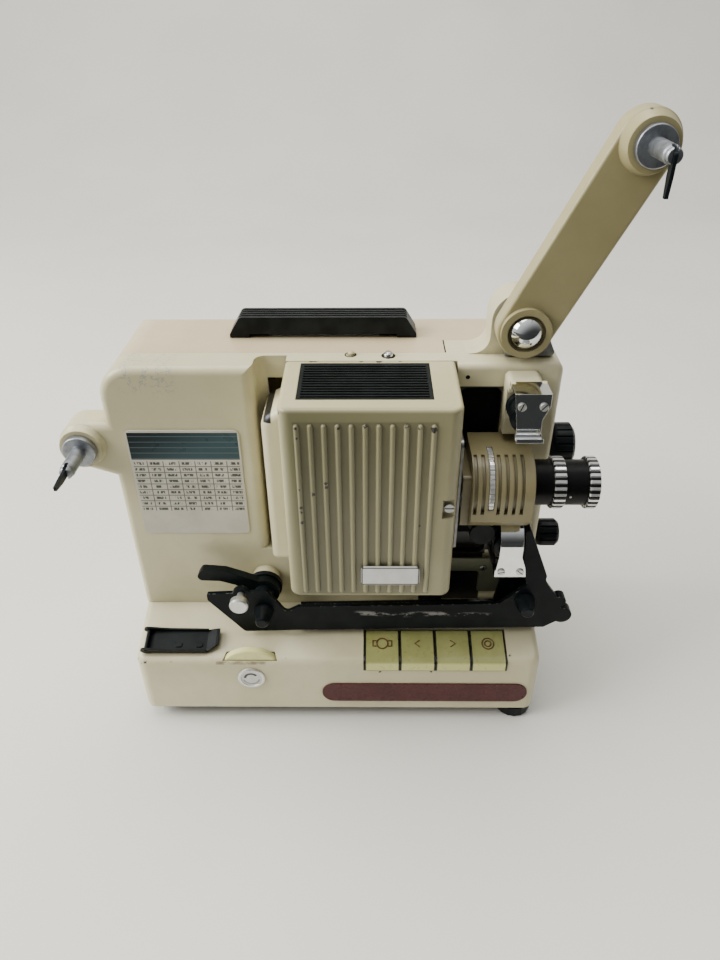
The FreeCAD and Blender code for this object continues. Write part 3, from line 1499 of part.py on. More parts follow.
upper_face = [
    (S.shoe_left, S.shoe_top),
    (S.shoe_right, S.shoe_top),
    (S.shoe_right, S.shoe_top - 7, 4),
    (S.shoe_right - 3.1, S.shoe_top - 14.5, 4),
    (S.shoe_right - 3, S.shoe_bottom),
    (S.shoe_left + 3.2, S.shoe_bottom),
]
upper_walls = [
    sheet_strip(S.shoe_left, S.shoe_top, S.shoe_left + 3.2, S.shoe_bottom),
    sheet_strip(S.shoe_right - S.shoe_sheet, S.shoe_top, S.shoe_right - S.shoe_sheet, S.shoe_top - 6),
]
lip_y = S.shoe_front + S.shoe_sheet - S.shoe_lip
upper_lip = common(
    ring("X", (lip_y, S.shoe_bottom), (S.shoe_left + 2.4, S.shoe_right - 2.4), S.shoe_lip,
         S.shoe_lip - S.shoe_sheet,
         "LipRing"),
    box((S.shoe_left, S.shoe_right), (lip_y - S.shoe_lip * 0.8, S.shoe_front + S.shoe_sheet),
        (S.shoe_bottom - S.shoe_lip, S.shoe_bottom), "LipLimit"), "Lip")
upper_sheet = film_shoe("UpperSheet", upper_hinge, 1, S.shoe_left, S.shoe_right, upper_face, upper_walls)
node(fuse(upper_sheet, upper_lip, name="UpperShoe"), "upper_shoe")

lower_face = [
    (S.low_shoe_left, S.low_shoe_bottom),
    (S.low_shoe_right, S.low_shoe_bottom),
    (S.low_shoe_right - 1, S.low_shoe_bottom + 7, 4),
    (S.low_shoe_right - 3.6, S.low_shoe_top - 6, 4),
    (S.low_shoe_right - 3.6, S.low_shoe_top),
    (S.low_shoe_left + 1.6, S.low_shoe_top),
    (S.low_shoe_left + 1.6, S.low_shoe_top - 6, 4),
]
lower_walls = [
    sheet_strip(S.low_shoe_left, S.low_shoe_bottom, S.low_shoe_left, S.low_shoe_bottom + 5),
    sheet_strip(S.low_shoe_right - S.shoe_sheet, S.low_shoe_bottom,
                S.low_shoe_right - S.shoe_sheet - 0.8, S.low_shoe_bottom + 6),
]
curl_y = S.shoe_front + S.low_shoe_curl
lower_curl = common(
    ring("X", (curl_y, S.low_shoe_top), (S.low_shoe_left + 1.6, S.low_shoe_right - 3.6), S.low_shoe_curl,
         S.low_shoe_curl - S.shoe_sheet, "CurlRing"),
    box((S.low_shoe_left, S.low_shoe_right), (S.shoe_front, S.low_shoe_curl_back),
        (S.low_shoe_top, S.low_shoe_top + S.low_shoe_curl + 1), "CurlLimit"), "Curl")
lower_sheet = film_shoe("LowerSheet", lower_hinge, -1, S.low_shoe_left, S.low_hinge_right, lower_face,
                        lower_walls)
node(fuse(lower_sheet, lower_curl, name="LowerShoe"), "lower_shoe")

guide = new_body("LoopGuide")
guide_front = S.sprocket_front + 4
spin(guide, [
    (0, guide_front),
    (S.guide_radius, guide_front, 0.4),
    (S.guide_radius, guide_front + 1.5),
    (S.guide_radius * 0.7, guide_front + 2.2),
    (S.guide_radius * 0.7, guide_front + 11.4),
    (S.guide_radius, guide_front + 12),
    (S.guide_radius, guide_front + 13.5),
    (S.guide_radius * 0.4, guide_front + 13.5),
    (S.guide_radius * 0.4, chamber_floor - S.liner_thick),
    (0, chamber_floor - S.liner_thick),
])
aim(guide, "Y", (S.guide_x, S.guide_z), 0)
node(guide, "loop_guide")

low_plate = new_body("LowerGuide")
low_plate_span = (S.step_front - S.plate_stand, S.step_front - S.plate_stand + S.liner_thick * 1.5)
pad(low_plate, "Y", low_plate_span, [
    (S.lower_plate_left, S.lower_plate_top - 10, 1.5),
    (S.lower_plate_left, S.lower_plate_top, 1.5),
    (S.lower_plate_right, S.lower_plate_top, 2),
    (S.lower_plate_right, S.lower_plate_bottom, 1.5),
    (S.lower_plate_right - 17, S.lower_plate_bottom, 1.5),
    (S.lower_plate_right - 17, S.lower_plate_top - 10, 2),
])
stand_offs = [
    rod("Y", (S.lower_plate_right - 8, height), (S.step_front - S.plate_stand, S.step_front), 3, "StandOff")
    for height in (S.lower_plate_top - 6, S.lower_plate_bottom + 5)
]
node(fuse(low_plate, *stand_offs, name="LowerGuidePlate"), "lower_guide_plate")

# Film chute under the film path

chute = new_body("ChutePlate")
chute_inside = S.chute_front + S.chute_sheet
pad(chute, "Y", (S.chute_front, chute_inside), [
    (S.chute_left, S.chute_low + 31, 1.2),
    (S.pillar_x + 3.2, S.chute_low + 33.2, 3),
    (S.chute_rail_left - 8.5, S.chute_low + 16, 3),
    (S.chute_rail_left - 1, S.chute_low + 20.8, 2),
    (S.chute_rail_right, S.chute_low + 23.8, 2),
    (S.post_x + 0.5, S.chute_low + 39.2, 3),
    (S.post_x + 8, S.chute_low + 48.5, 3),
    (S.post_x + 12.2, S.chute_low + 39.2, 3),
    (S.post_x + 19, S.chute_low + 29.5),
    (S.post_x + 23.5, S.chute_low + 18),
    (S.post_x + 22, S.chute_low + 10),
    (S.post_x + 14, S.chute_low + 4.4),
    (S.chute_rail_left - 1, S.chute_low + 1.2),
    (S.pillar_x - 13, S.chute_low, 3),
    (S.chute_left, S.chute_low + 26.2, 1.2),
])
pad(chute, "Y", (chute_inside - 0.2, S.chute_back), [
    (S.chute_rail_left - 1, S.chute_low + 1.2),
    (S.post_x + 14, S.chute_low + 4.4),
    (S.post_x + 14, S.chute_low + 4.4 + S.chute_sheet),
    (S.chute_rail_left - 1, S.chute_low + 1.2 + S.chute_sheet),
], name="ChuteFloor")
pad(chute, "Y", (S.chute_back - S.chute_sheet, S.chute_back), [
    (S.chute_rail_left - 1, S.chute_low + 1.2),
    (S.post_x + 14, S.chute_low + 4.4),
    (S.post_x + 14, S.post_z + 7.5, 4),
    (S.post_x - 13, S.post_z + 7.5, 4),
    (S.post_x - 16, S.chute_low + 14),
    (S.chute_rail_left - 1, S.chute_low + 11),
], name="ChuteBack")
pad(chute, "Y", (S.chute_front, S.chute_front + 7), [
    (S.post_x + 1, S.chute_low + 36),
    (S.post_x - 4, S.chute_low + 50, 2),
    (S.post_x - 5, S.chute_low + 74),
    (S.post_x - 5.6, S.chute_low + 79, 1),
    (S.post_x - 2.4, S.chute_low + 79.6, 1),
    (S.post_x + 10.8, S.chute_low + 46, 2),
    (S.post_x + 10, S.chute_low + 36),
], name="ChuteArm")
chute_lobes = [
    rod("Y", (S.post_x + 21.1, S.chute_low + 25.6), (S.chute_front, S.chute_front + 6), 3.8, "UpperLobe"),
    rod("Y", (S.post_x + 24.2, S.chute_low + 14.2), (S.chute_front, S.chute_front + 6), 5.7, "LowerLobe"),
    rod("Y", (S.thumb_x, S.thumb_z), (S.chute_front, chute_inside), S.thumb_radius - 0.4, "ThumbLobe"),
]
roller_places = ((S.pillar_x, S.pillar_z - 8.5, "left"), (S.post_x, S.post_z, "right"))
roller_bores = [
    rod("Y", (x, z), (S.chute_front - 1, chute_inside + 1), S.roller_pin + S.running_fit, "RollerBore")
    for x, z, word in roller_places
]
thumb_bore = rod("Y", (S.thumb_x, S.thumb_z), (S.chute_front - 1, chute_inside + 1),
                 S.roller_pin + S.running_fit)
node(cut(fuse(chute, *chute_lobes, name="ChuteJoined"), thumb_bore, *roller_bores, name="Chute"),
     "film_chute")

collar_face = S.pillar_front - 3
collar = fuse(
    rod("Y", (S.pillar_x, S.pillar_z), (collar_face, S.pillar_front), S.collar_radius, "CollarFlange"),
    rod("Y", (S.pillar_x, S.pillar_z), (chute_inside, S.pillar_front), S.collar_neck, "CollarNeck"),
    name="Collar")
node(collar, "chute_collar")

lever = new_body("ChuteLever")
lever_span = (collar_face - S.loose_gap - 5, collar_face - S.loose_gap)
pad(lever, "Y", lever_span, circles=[(S.pillar_x, S.pillar_z, S.collar_neck + 3.4)], name="LeverRing")
pad(lever, "Y", lever_span, [
    (S.pillar_x - 3, S.pillar_z + 9),
    (S.pillar_x - 12, S.pillar_z + 13, 5),
    (S.pillar_x - 22, S.pillar_z + 17, 5),
    (S.pillar_x - 36, S.pillar_z + 18.4, 3),
    (S.pillar_x - 41.6, S.pillar_z + 10, 3),
    (S.pillar_x - 26, S.pillar_z + 9.4, 6),
    (S.pillar_x - 16, S.pillar_z + 6, 5),
    (S.pillar_x - 9, S.pillar_z - 3),
    (S.pillar_x - 2, S.pillar_z),
], name="LeverWing")
pocket(lever, "Y", (lever_span[0] - 1, lever_span[1] + 1),
       circles=[(S.pillar_x, S.pillar_z, S.collar_neck + S.running_fit)], name="LeverBore")
node(lever, "chute_lever")

thumb = new_body("ThumbScrew")
spin(thumb, [
    (0, S.chute_front - S.roller_length),
    (S.thumb_radius, S.chute_front - S.roller_length, 0.8),
    (S.thumb_radius, S.chute_front - S.roller_length + 5, 0.8),
    (S.thumb_neck, S.chute_front - S.roller_length + 5.6),
    (S.thumb_neck, S.chute_front - S.side_gap),
    (S.roller_pin, S.chute_front - S.side_gap),
    (S.roller_pin, chute_inside + 1.6),
    (0, chute_inside + 1.6),
])
aim(thumb, "Y", (S.thumb_x, S.thumb_z), 0)
node(thumb, "chute_thumbscrew")

for x, z, word in roller_places:
    roller = new_body("ConeRoller")
    roller_end = chute_inside if word == "left" else chute_inside + 1.5
    spin(roller, [
        (0, S.chute_front - S.roller_length),
        (S.roller_tip_radius, S.chute_front - S.roller_length, 0.8),
        (S.roller_radius, S.chute_front - S.side_gap - 1.5),
        (S.roller_radius, S.chute_front - S.side_gap),
        (S.roller_pin, S.chute_front - S.side_gap),
        (S.roller_pin, roller_end),
        (0, roller_end),
    ])
    aim(roller, "Y", (x, z), 0)
    node(roller, "chute_roller_" + word)

# Reel arm, built upright and then leaned over

arm = new_body("ArmBar")
arm_end = S.arm_radius - S.running_fit
pad(arm, "Y", (S.arm_front, S.arm_back), rect(
    (-S.arm_radius, S.arm_radius), (-S.arm_radius, S.arm_length + S.arm_radius), arm_end))
soften(arm, S.arm_edge, edges(arm.Shape, y=S.arm_front), "ArmFrontEdge")
arm_origin = (0, 0)
arm_tip = (0, S.arm_length)
hub = rod("Y", arm_origin, (S.hub_front, S.arm_front + 1), S.hub_radius, "Hub")
tip_boss = cone("Y", arm_tip, (S.boss_front, S.arm_front + 0.5), (S.boss_radius, S.arm_radius - 0.6),
                "TipBoss")
hub_recess = rod("Y", arm_origin, (S.hub_front - 1, S.arm_front - 1), S.dome_radius + S.dome_gap,
                 "HubRecess")
hub_bore = rod("Y", arm_origin, (S.hub_front - 1, S.arm_back + 1), S.pivot_radius + S.running_fit, "HubBore")
tip_bore = rod("Y", arm_tip, (S.boss_front - 1, S.arm_back - 2), S.spindle_root_radius + S.running_fit,
               "TipBore")
reel_arm = cut(fuse(arm, hub, tip_boss, name="ArmSolid"), hub_recess, hub_bore, tip_bore, name="ReelArm")
reel_arm.Placement = FreeCAD.Placement(Vector(), FreeCAD.Rotation(Vector(0, 1, 0), num(S.arm_tilt)))
bind(reel_arm, "Placement.Rotation.Angle", S.arm_tilt)
put(reel_arm, S.arm_x, 0, S.arm_z)
node(reel_arm, "reel_arm")

bracket = new_body("BracketPlate")
bracket_back = S.ear_front
bracket_front = S.arm_back + S.loose_gap
pad(bracket, "Y", (bracket_front, bracket_back), [
    (S.arm_x - S.arm_radius * 0.5, S.cast_top + 1),
    (S.arm_x - S.arm_radius * 0.85, S.arm_z + S.arm_radius * 0.4, 5),
    (S.arm_x - S.arm_radius * 0.3, S.arm_z + S.arm_radius * 0.88, 5),
    (S.arm_x + S.arm_radius * 0.5, S.arm_z + S.arm_radius * 0.7, 6),
    (S.arm_x + S.arm_radius * 1.38, S.cast_top + 1, 2),
], circles=[(S.arm_x, S.arm_z, S.pivot_radius)])
node(bracket, "arm_bracket_plate")

dome_back = S.arm_front - 1 - S.loose_gap
dome_height = dome_back - S.dome_front
dome_curve = (S.dome_radius * S.dome_radius + dome_height * dome_height) / (2 * dome_height)
dome = common(
    rod("Y", (S.arm_x, S.arm_z), (S.dome_front - 1, dome_back), S.dome_radius),
    ball((S.arm_x, S.dome_front + dome_curve, S.arm_z), dome_curve), "Dome")
pivot_stem = rod("Y", (S.arm_x, S.arm_z), (dome_back - 1, S.ear_back), S.pivot_radius, "PivotStem")
node(fuse(dome, pivot_stem, name="PivotCap"), "arm_pivot_cap")


# Reel spindles with their folding latches

arm_tip_x = S.arm_x + S.arm_length * sine(S.arm_tilt)
arm_tip_z = S.arm_z + S.arm_length * cosine(S.arm_tilt)


def reel_spindle(name, x, z, root):
    """Flanged spindle with a forked end and its latch pin."""
    turned = new_body(name)
    spin(turned, [
        (0, S.spindle_tip),
        (S.spindle_radius - S.spindle_lead * 2, S.spindle_tip),
        (S.spindle_radius - S.spindle_lead, S.spindle_tip + 0.8),
        (S.spindle_radius - S.spindle_lead, S.spindle_seat_end - S.spindle_lead),
        (S.spindle_radius, S.spindle_seat_end),
        (S.spindle_radius, S.flange_face),
        (S.flange_radius, S.flange_face, 0.4),
        (S.flange_radius, S.boss_front - S.loose_gap),
        (S.spindle_root_radius, S.boss_front - S.loose_gap),
        (S.spindle_root_radius, root),
        (0, root),
    ])
    aim(turned, "Y", (x, z), 0)
    fork = box((x - S.latch_thick / 2 - S.side_gap, x + S.latch_thick / 2 + S.side_gap),
               (S.spindle_tip - 1, S.latch_y + S.latch_wide), (z - 5, z + 5), "Fork")
    pin = rod("X", (S.latch_y, z), (x - S.spindle_radius * 0.8, x + S.spindle_radius * 0.8),
              S.latch_pin, "LatchPin")
    return fuse(cut(turned, fork, name="ForkedSpindle"), pin, name=name + "Joined")


def latch(name, x, z, turn):
    """Flat latch, drawn hanging down from its pin and then turned about it."""
    blade = new_body(name)
    pad(blade, "X", (-S.latch_thick / 2, S.latch_thick / 2), [
        (-S.latch_wide * 0.72, S.latch_wide * 0.5, 1.5),
        (S.latch_wide * 0.42, S.latch_wide * 0.5, 1.2),
        (S.latch_wide * 0.42, -S.latch_length * 0.5),
        (S.latch_wide * 0.1, -S.latch_length),
        (-S.latch_wide * 0.5, -S.latch_length),
        (-S.latch_wide * 0.72, -S.latch_length * 0.5),
    ], circles=[(0, 0, S.latch_pin + S.running_fit)])
    blade.Placement = FreeCAD.Placement(Vector(), FreeCAD.Rotation(Vector(1, 0, 0), turn))
    put(blade, x, S.latch_y, z)
    return blade


node(reel_spindle("SupplySpindle", arm_tip_x, arm_tip_z, S.arm_back - 2.5), "supply_spindle")
node(reel_spindle("TakeupSpindle", S.takeup_x, S.takeup_z, S.lobe_back - 2.5), "takeup_spindle")
node(latch("SupplyLatch", arm_tip_x, arm_tip_z, 0), "supply_latch")
node(latch("TakeupLatch", S.takeup_x, S.takeup_z, -90), "takeup_latch")

# Main shaft with the shutter, and the knobs on the right

main_shaft_span = (S.shutter_x - 6, S.cast_right + S.inching_length * 0.7)
node(rod("X", (S.shaft_y, S.shaft_z), main_shaft_span, S.shaft_radius, "MainShaft"), "main_shaft")
shutter = new_body("Shutter")
spin(shutter, [
    (S.shaft_radius, 0),
    (S.shutter_radius, 0),
    (S.shutter_radius, S.shutter_thick),
    (S.shaft_radius + 4, S.shutter_thick),
    (S.shaft_radius + 4, S.shutter_thick + 1.5),
    (S.shaft_radius, S.shutter_thick + 1.5),
])
window = pocket(shutter, "Z", (-1, S.shutter_thick + 1), [
    (S.shutter_radius * 0.62, S.shutter_radius * -0.3),
    (S.shutter_radius * 1.1, S.shutter_radius * -0.52),
    (S.shutter_radius * 1.1, S.shutter_radius * 0.52),
    (S.shutter_radius * 0.62, S.shutter_radius * 0.3),
], name="ShutterGap")
repeat_round(shutter, window, 3)
aim(shutter, "X", (S.shaft_y, S.shaft_z), S.shutter_x)
node(shutter, "shutter")


def side_knob(name, y, z, radius, length, flutes, flute_depth, bore):
    """Turned and fluted knob on the right side."""
    body = new_body(name)
    spin(body, [
        (bore, 0),
        (radius * 0.78, 0),
        (radius * 0.86, length * 0.18),
        (radius, length * 0.3, 0.8),
        (radius, length * 0.88),
        (radius * 0.8, length),
        (0, length),
        (0, length * 0.7),
        (bore, length * 0.7),
    ])
    gap = pocket(body, "Z", (length * 0.22, length + 1),
                 tooth_gap_outline(radius, flute_depth, radius * 1.9 / flutes), name="KnobFlute")
    repeat_round(body, gap, flutes)
    aim(body, "X", (y, z), S.cast_right + S.loose_gap)
    return body


node(side_knob("InchingKnob", S.shaft_y, S.shaft_z, S.inching_radius, S.inching_length,
               18, 0.8, S.shaft_radius), "inching_knob")
framing = side_knob("FramingKnob", S.framing_y, S.framing_z, S.framing_radius, S.framing_length,
                    12, 1.1, S.shaft_radius)
framing_shaft = rod("X", (S.framing_y, S.framing_z),
                    (S.cast_right - 8, S.cast_right + S.framing_length * 0.75), S.shaft_radius,
                    "FramingShaft")
node(fuse(framing, framing_shaft, name="Framing"), "framing_knob")

button = new_body("TopButton")
spin(button, [
    (0, S.cast_top - 7),
    (S.button_radius, S.cast_top - 7),
    (S.button_radius, S.cast_top + 2, 0.8),
    (0, S.cast_top + 2),
])
put(button, S.button_x, S.button_y)
node(button, "top_button")

# Lamp, condenser and the bracket that carries them

sill = S.lamp_bottom + 6
bracket_span = (S.lamp_x - 20, S.condenser_x + 6)
lamp_bracket = box(bracket_span, (S.lens_y - 14, S.cast_back), (sill, sill + S.bracket_thick), "LampBracket")
socket = rod("Z", (S.lamp_x, S.lens_y), (sill, S.bulb_foot + 4), S.socket_radius, "Socket")
socket_bore = rod("Z", (S.lamp_x, S.lens_y), (S.bulb_foot, S.bulb_foot + 5), S.socket_radius - 1.5,
                  "SocketBore")
socket_body = cut(fuse(lamp_bracket, socket, name="LampFoot"), socket_bore, name="LampMount")
node(socket_body, "lamp_mount")
bulb = new_body("Bulb")
bulb_foot_radius = S.socket_radius - 1.5
spin(bulb, [
    (0, S.bulb_foot),
    (bulb_foot_radius, S.bulb_foot),
    (bulb_foot_radius, S.bulb_foot + 14),
    (S.bulb_radius, S.bulb_foot + 22),
    (S.bulb_radius, S.bulb_foot + 54),
    (S.bulb_radius * 0.8, S.bulb_foot + 60),
    (S.bulb_radius * 0.4, S.bulb_foot + 63),
    (0, S.bulb_foot + 63.5),
])
put(bulb, S.lamp_x, S.lens_y)
node(bulb, "lamp_bulb")
holder = new_body("CondenserHolder")
holder_half = S.condenser_radius + 3
pad(holder, "X", (S.condenser_x - 4, S.condenser_x + 4), [
    (S.lens_y - holder_half, S.lens_z + holder_half, holder_half * 0.98),
    (S.lens_y + holder_half, S.lens_z + holder_half, holder_half * 0.98),
    (S.lens_y + holder_half, S.lens_z - holder_half),
    (S.lens_y + holder_half * 0.6, S.lens_z - holder_half - 6),
    (S.lens_y + holder_half * 0.6, sill + S.bracket_thick),
    (S.lens_y - holder_half * 0.6, sill + S.bracket_thick),
    (S.lens_y - holder_half * 0.6, S.lens_z - holder_half - 6),
    (S.lens_y - holder_half, S.lens_z - holder_half),
], circles=[(S.lens_y, S.lens_z, S.condenser_radius)])
node(holder, "condenser_holder")
condenser_curve = (S.condenser_radius * S.condenser_radius + S.condenser_bulge * S.condenser_bulge) \
    / (2 * S.condenser_bulge)
condenser = common(
    ball((S.condenser_x + condenser_curve - S.condenser_bulge, S.lens_y, S.lens_z), condenser_curve),
    ball((S.condenser_x - condenser_curve + S.condenser_bulge, S.lens_y, S.lens_z), condenser_curve),
    "Condenser")
node(condenser, "condenser_lens")

# Every object has to be sound before anything is written

doc.recompute()
for item in doc.Objects:
    if "Invalid" in item.State or "Error" in item.State:
        raise RuntimeError(item.Name + " failed: " + ", ".join(item.State))
for thing in NODES:
    if thing.Shape.isNull() or not thing.Shape.isValid():
        raise RuntimeError(thing.Label + " has no sound shape")
for thing in NODES:
    thing.Shape.exportStep("parts/" + thing.Label + ".step")
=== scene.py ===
import math

import bmesh
import bpy
from mathutils import Matrix, Vector


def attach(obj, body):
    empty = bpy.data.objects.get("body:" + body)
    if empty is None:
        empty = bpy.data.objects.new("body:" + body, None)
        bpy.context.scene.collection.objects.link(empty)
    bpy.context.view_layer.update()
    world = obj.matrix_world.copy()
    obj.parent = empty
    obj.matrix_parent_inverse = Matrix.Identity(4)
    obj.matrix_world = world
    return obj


# The looks of the film projector. Lengths are in millimetres until they reach a mesh;
# the camera, the floor and the lights are placed in metres.

MM = 0.001
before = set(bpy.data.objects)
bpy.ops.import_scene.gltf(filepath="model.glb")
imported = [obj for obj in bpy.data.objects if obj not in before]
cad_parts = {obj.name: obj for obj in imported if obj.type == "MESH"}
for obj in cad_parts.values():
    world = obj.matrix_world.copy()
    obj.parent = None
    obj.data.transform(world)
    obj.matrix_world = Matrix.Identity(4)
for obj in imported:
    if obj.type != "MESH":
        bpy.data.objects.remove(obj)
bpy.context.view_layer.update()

# Camera at the photograph's place

SENSOR_WIDTH = 36.0
FOCAL_LENGTH = 27.3
CLIP_START = 0.01
CAMERA_PLACE = (0.01897, -0.37619, 0.39526)

camera_data = bpy.data.cameras.new("Camera")
camera_data.sensor_width = SENSOR_WIDTH
camera_data.lens = FOCAL_LENGTH
camera_data.clip_start = CLIP_START
camera = bpy.data.objects.new("Camera", camera_data)
bpy.context.scene.collection.objects.link(camera)
right = Vector((0.99993, 0.00958, -0.00621))
upward = Vector((-0.00025, 0.56212, 0.82706))
backward = Vector((0.01141, -0.82700, 0.56208))
turn = Matrix((right, upward, backward)).transposed().to_4x4()
camera.matrix_world = Matrix.Translation(CAMERA_PLACE) @ turn
bpy.context.scene.camera = camera


# Materials

RAY_SAMPLES = 4
PER_MM = 1000.0
CHIP_TONE = (0.035, 0.03, 0.026)
CORNER_DIRT_AND_SHADE = (0.10, 0.08, 0.045)
RUST_SPECK = (0.20, 0.15, 0.09)
NEAR_BLACK = (0.02, 0.02, 0.02)


class Look:
    """A node material that is built up step by step."""

    def __init__(self, name, roughness, metallic=0.0, coat=0.0):
        self.material = bpy.data.materials.new(name)
        self.material.use_nodes = True
        self.tree = self.material.node_tree
        self.shader = self.tree.nodes["Principled BSDF"]
        self.shader.inputs["Roughness"].default_value = roughness
        self.shader.inputs["Metallic"].default_value = metallic
        self.shader.inputs["Coat Weight"].default_value = coat
        self.place = self.node("ShaderNodeTexCoord").outputs["Object"]

    def node(self, kind, links=(), **settings):
        """New node with its settings and inputs; an input is a socket or a plain value."""
        made = self.tree.nodes.new(kind)
        for key, value in settings.items():
            setattr(made, key, value)
        for key, value in dict(links).items():
            if isinstance(value, bpy.types.NodeSocket):
                self.tree.links.new(value, made.inputs[key])
            else:
                made.inputs[key].default_value = value
        return made

    def noise(self, size, detail=2.0, roughness=0.5, at=None):
        """Noise whose patches are about size millimetres wide."""
        return self.node("ShaderNodeTexNoise", {
            "Vector": at or self.place, "Scale": 1.0 / (size * MM), "Detail": detail,
            "Roughness": roughness}).outputs["Fac"]

    def stretched(self, x, y, z):
        """Object coordinates, scaled along each axis."""
        links = {0: self.place, 1: (x, y, z)}
        return self.node("ShaderNodeVectorMath", links, operation="MULTIPLY").outputs[0]

    def along(self, axis):
        """One object coordinate in millimetres."""
        parts = self.node("ShaderNodeSeparateXYZ", {0: self.place})
        return self.times(parts.outputs["XYZ".index(axis)], PER_MM)

    def calc(self, operation, first, second=0.0, third=0.0):
        """Result of a math node."""
        links = {0: first, 1: second, 2: third}
        return self.node("ShaderNodeMath", links, operation=operation).outputs[0]

    def times(self, first, second):
        """First times second."""
        return self.calc("MULTIPLY", first, second)

    def scaled(self, value, factor, offset):
        """Value times factor, plus offset."""
        return self.calc("MULTIPLY_ADD", value, factor, offset)

    def step(self, value, low, high):
        """Nothing below low, all above high, smooth between them."""
        links = {"Value": value, "From Min": low, "From Max": high}
        return self.node("ShaderNodeMapRange", links, interpolation_type="SMOOTHSTEP").outputs[0]

    def within(self, value, low, high, soft):
        """One between two limits, nothing outside them."""
        rise = self.step(value, low - soft, low + soft)
        fall = self.step(value, high + soft, high - soft)
        return self.times(rise, fall)

    def mix(self, factor, first, second):
        """Mixed colour of two colours."""
        mixed = self.node("ShaderNodeMix", {0: factor}, data_type="RGBA")
        for place, value in ((6, first), (7, second)):
            if isinstance(value, bpy.types.NodeSocket):
                self.tree.links.new(value, mixed.inputs[place])
            else:
                mixed.inputs[place].default_value = (*value, 1.0)
        return mixed.outputs[2]

    def edges(self, radius):
        """One along sharp edges, within a radius in millimetres."""
        soft = self.node("ShaderNodeBevel", {"Radius": radius * MM}, samples=RAY_SAMPLES).outputs[0]
        sharp = self.node("ShaderNodeNewGeometry").outputs["Normal"]
        links = {0: soft, 1: sharp}
        same = self.node("ShaderNodeVectorMath", links, operation="DOT_PRODUCT").outputs["Value"]
        return self.step(same, 0.985, 0.86)

    def wear(self, edge_radius, patch, amount):
        """Chips on the edges: one where the paint is gone."""
        border = 1.0 - amount
        speckle = self.step(self.noise(patch, 4.0, 0.6), border - 0.02, border + 0.02)
        return self.times(self.edges(edge_radius), speckle)

    def chipped(self, places):
        """One at single chips, each given as x, y, z and radius in millimetres."""
        nearest = None
        for x, y, z, radius in places:
            reach = self.node("ShaderNodeVectorMath", {
                0: self.place, 1: (x * MM, y * MM, z * MM)}, operation="DISTANCE").outputs["Value"]
            reach = self.scaled(reach, PER_MM, -radius)
            nearest = reach if nearest is None else self.calc("MINIMUM", nearest, reach)
        ragged = self.scaled(self.noise(1.1, 3.0, 0.6), 2.6, -1.3)
        return self.step(self.calc("ADD", nearest, ragged), 0.25, -0.15)

    def inside(self, spans, soft=0.3):
        """One inside a box, given as low and high for each of the axes that limit it."""
        mask = None
        for axis, (low, high) in spans.items():
            part = self.within(self.along(axis), low, high, soft)
            mask = part if mask is None else self.times(mask, part)
        return mask

    def grime_and_shade(self, reach, amount):
        """Dirt and painted shade in corners and recesses, found by ambient occlusion."""
        shade = self.node("ShaderNodeAmbientOcclusion", {"Distance": reach * MM}, samples=RAY_SAMPLES)
        return self.times(self.step(shade.outputs["AO"], 0.9, 0.3), amount)

    def done(self, colour, heights=(), roughness=None, metallic=None, soft_edge=0.4):
        """Join colour, bumps (height, depth in mm) and roughness to the shader."""
        self.tree.links.new(colour, self.shader.inputs["Base Color"])
        links = {"Radius": soft_edge * MM}
        normal = self.node("ShaderNodeBevel", links, samples=RAY_SAMPLES).outputs[0]
        for height, depth in heights:
            links = {"Height": height, "Distance": depth * MM, "Strength": 1.0, "Normal": normal}
            normal = self.node("ShaderNodeBump", links).outputs[0]
        self.tree.links.new(normal, self.shader.inputs["Normal"])
        for value, word in ((roughness, "Roughness"), (metallic, "Metallic")):
            if value is not None:
                self.tree.links.new(value, self.shader.inputs[word])
        return self.material


def enamel(name, fresh, aged_tone_and_front_shade, chip_amount=0.3, edge_radius=0.8, chips_at=(), dark_parts=None):
    """Semi-gloss enamel on a casting, with orange peel, ageing, corner dirt and painted corner shade,
    and chipped edges.
    """
    look = Look(name, 0.38, coat=0.10)
    cloudy = look.step(look.noise(70, 3.0), 0.35, 0.68)
    mottled = look.step(look.noise(9, 4.0, 0.6), 0.4, 0.75)
    colour = look.mix(cloudy, fresh, aged_tone_and_front_shade)
    darker = tuple(0.84 * part for part in aged_tone_and_front_shade)
    colour = look.mix(look.times(mottled, 0.18), colour, darker)
    if dark_parts:
        colour = dark_parts(look, colour)
    specks = look.step(look.noise(1.6, 3.0, 0.7), 0.70, 0.76)
    colour = look.mix(look.times(specks, 0.35), colour, RUST_SPECK)
    # Corner dirt and painted shade: darker in corners and recesses.
    colour = look.mix(look.grime_and_shade(6, 0.6), colour, CORNER_DIRT_AND_SHADE)
    chips = look.wear(edge_radius, 3.2, chip_amount)
    if chips_at:
        chips = look.calc("MAXIMUM", chips, look.chipped(chips_at))
    colour = look.mix(chips, colour, CHIP_TONE)
    gloss = look.scaled(look.noise(14, 3.0), 0.22, 0.25)
    peel = look.noise(1.3, 2.0)
    lumps = look.noise(16, 2.0)
    return look.done(colour, ((peel, 0.02), (lumps, 0.10), (chips, -0.05)), gloss, soft_edge=0.7)


def black_paint(name, tone, rough=0.36, bare=0.30):
    """Satin black paint that is rubbed to dull metal on its edges."""
    look = Look(name, rough)
    look.shader.inputs["Specular IOR Level"].default_value = 0.12
    cloudy = look.step(look.noise(12, 4.0), 0.35, 0.7)
    colour = look.mix(cloudy, tone, tuple(1.8 * part for part in tone))
    dust = look.step(look.noise(2.2, 5.0, 0.7), 0.60, 0.74)
    colour = look.mix(look.times(dust, 0.03), colour, (0.14, 0.14, 0.13))
    rubbed = look.wear(0.5, 2.4, bare)
    colour = look.mix(rubbed, colour, (0.20, 0.20, 0.19))
    gloss = look.scaled(look.noise(5, 3.0), 0.28, rough - 0.12)
    return look.done(colour, ((look.noise(0.9, 2.0), 0.015),), gloss, rubbed)


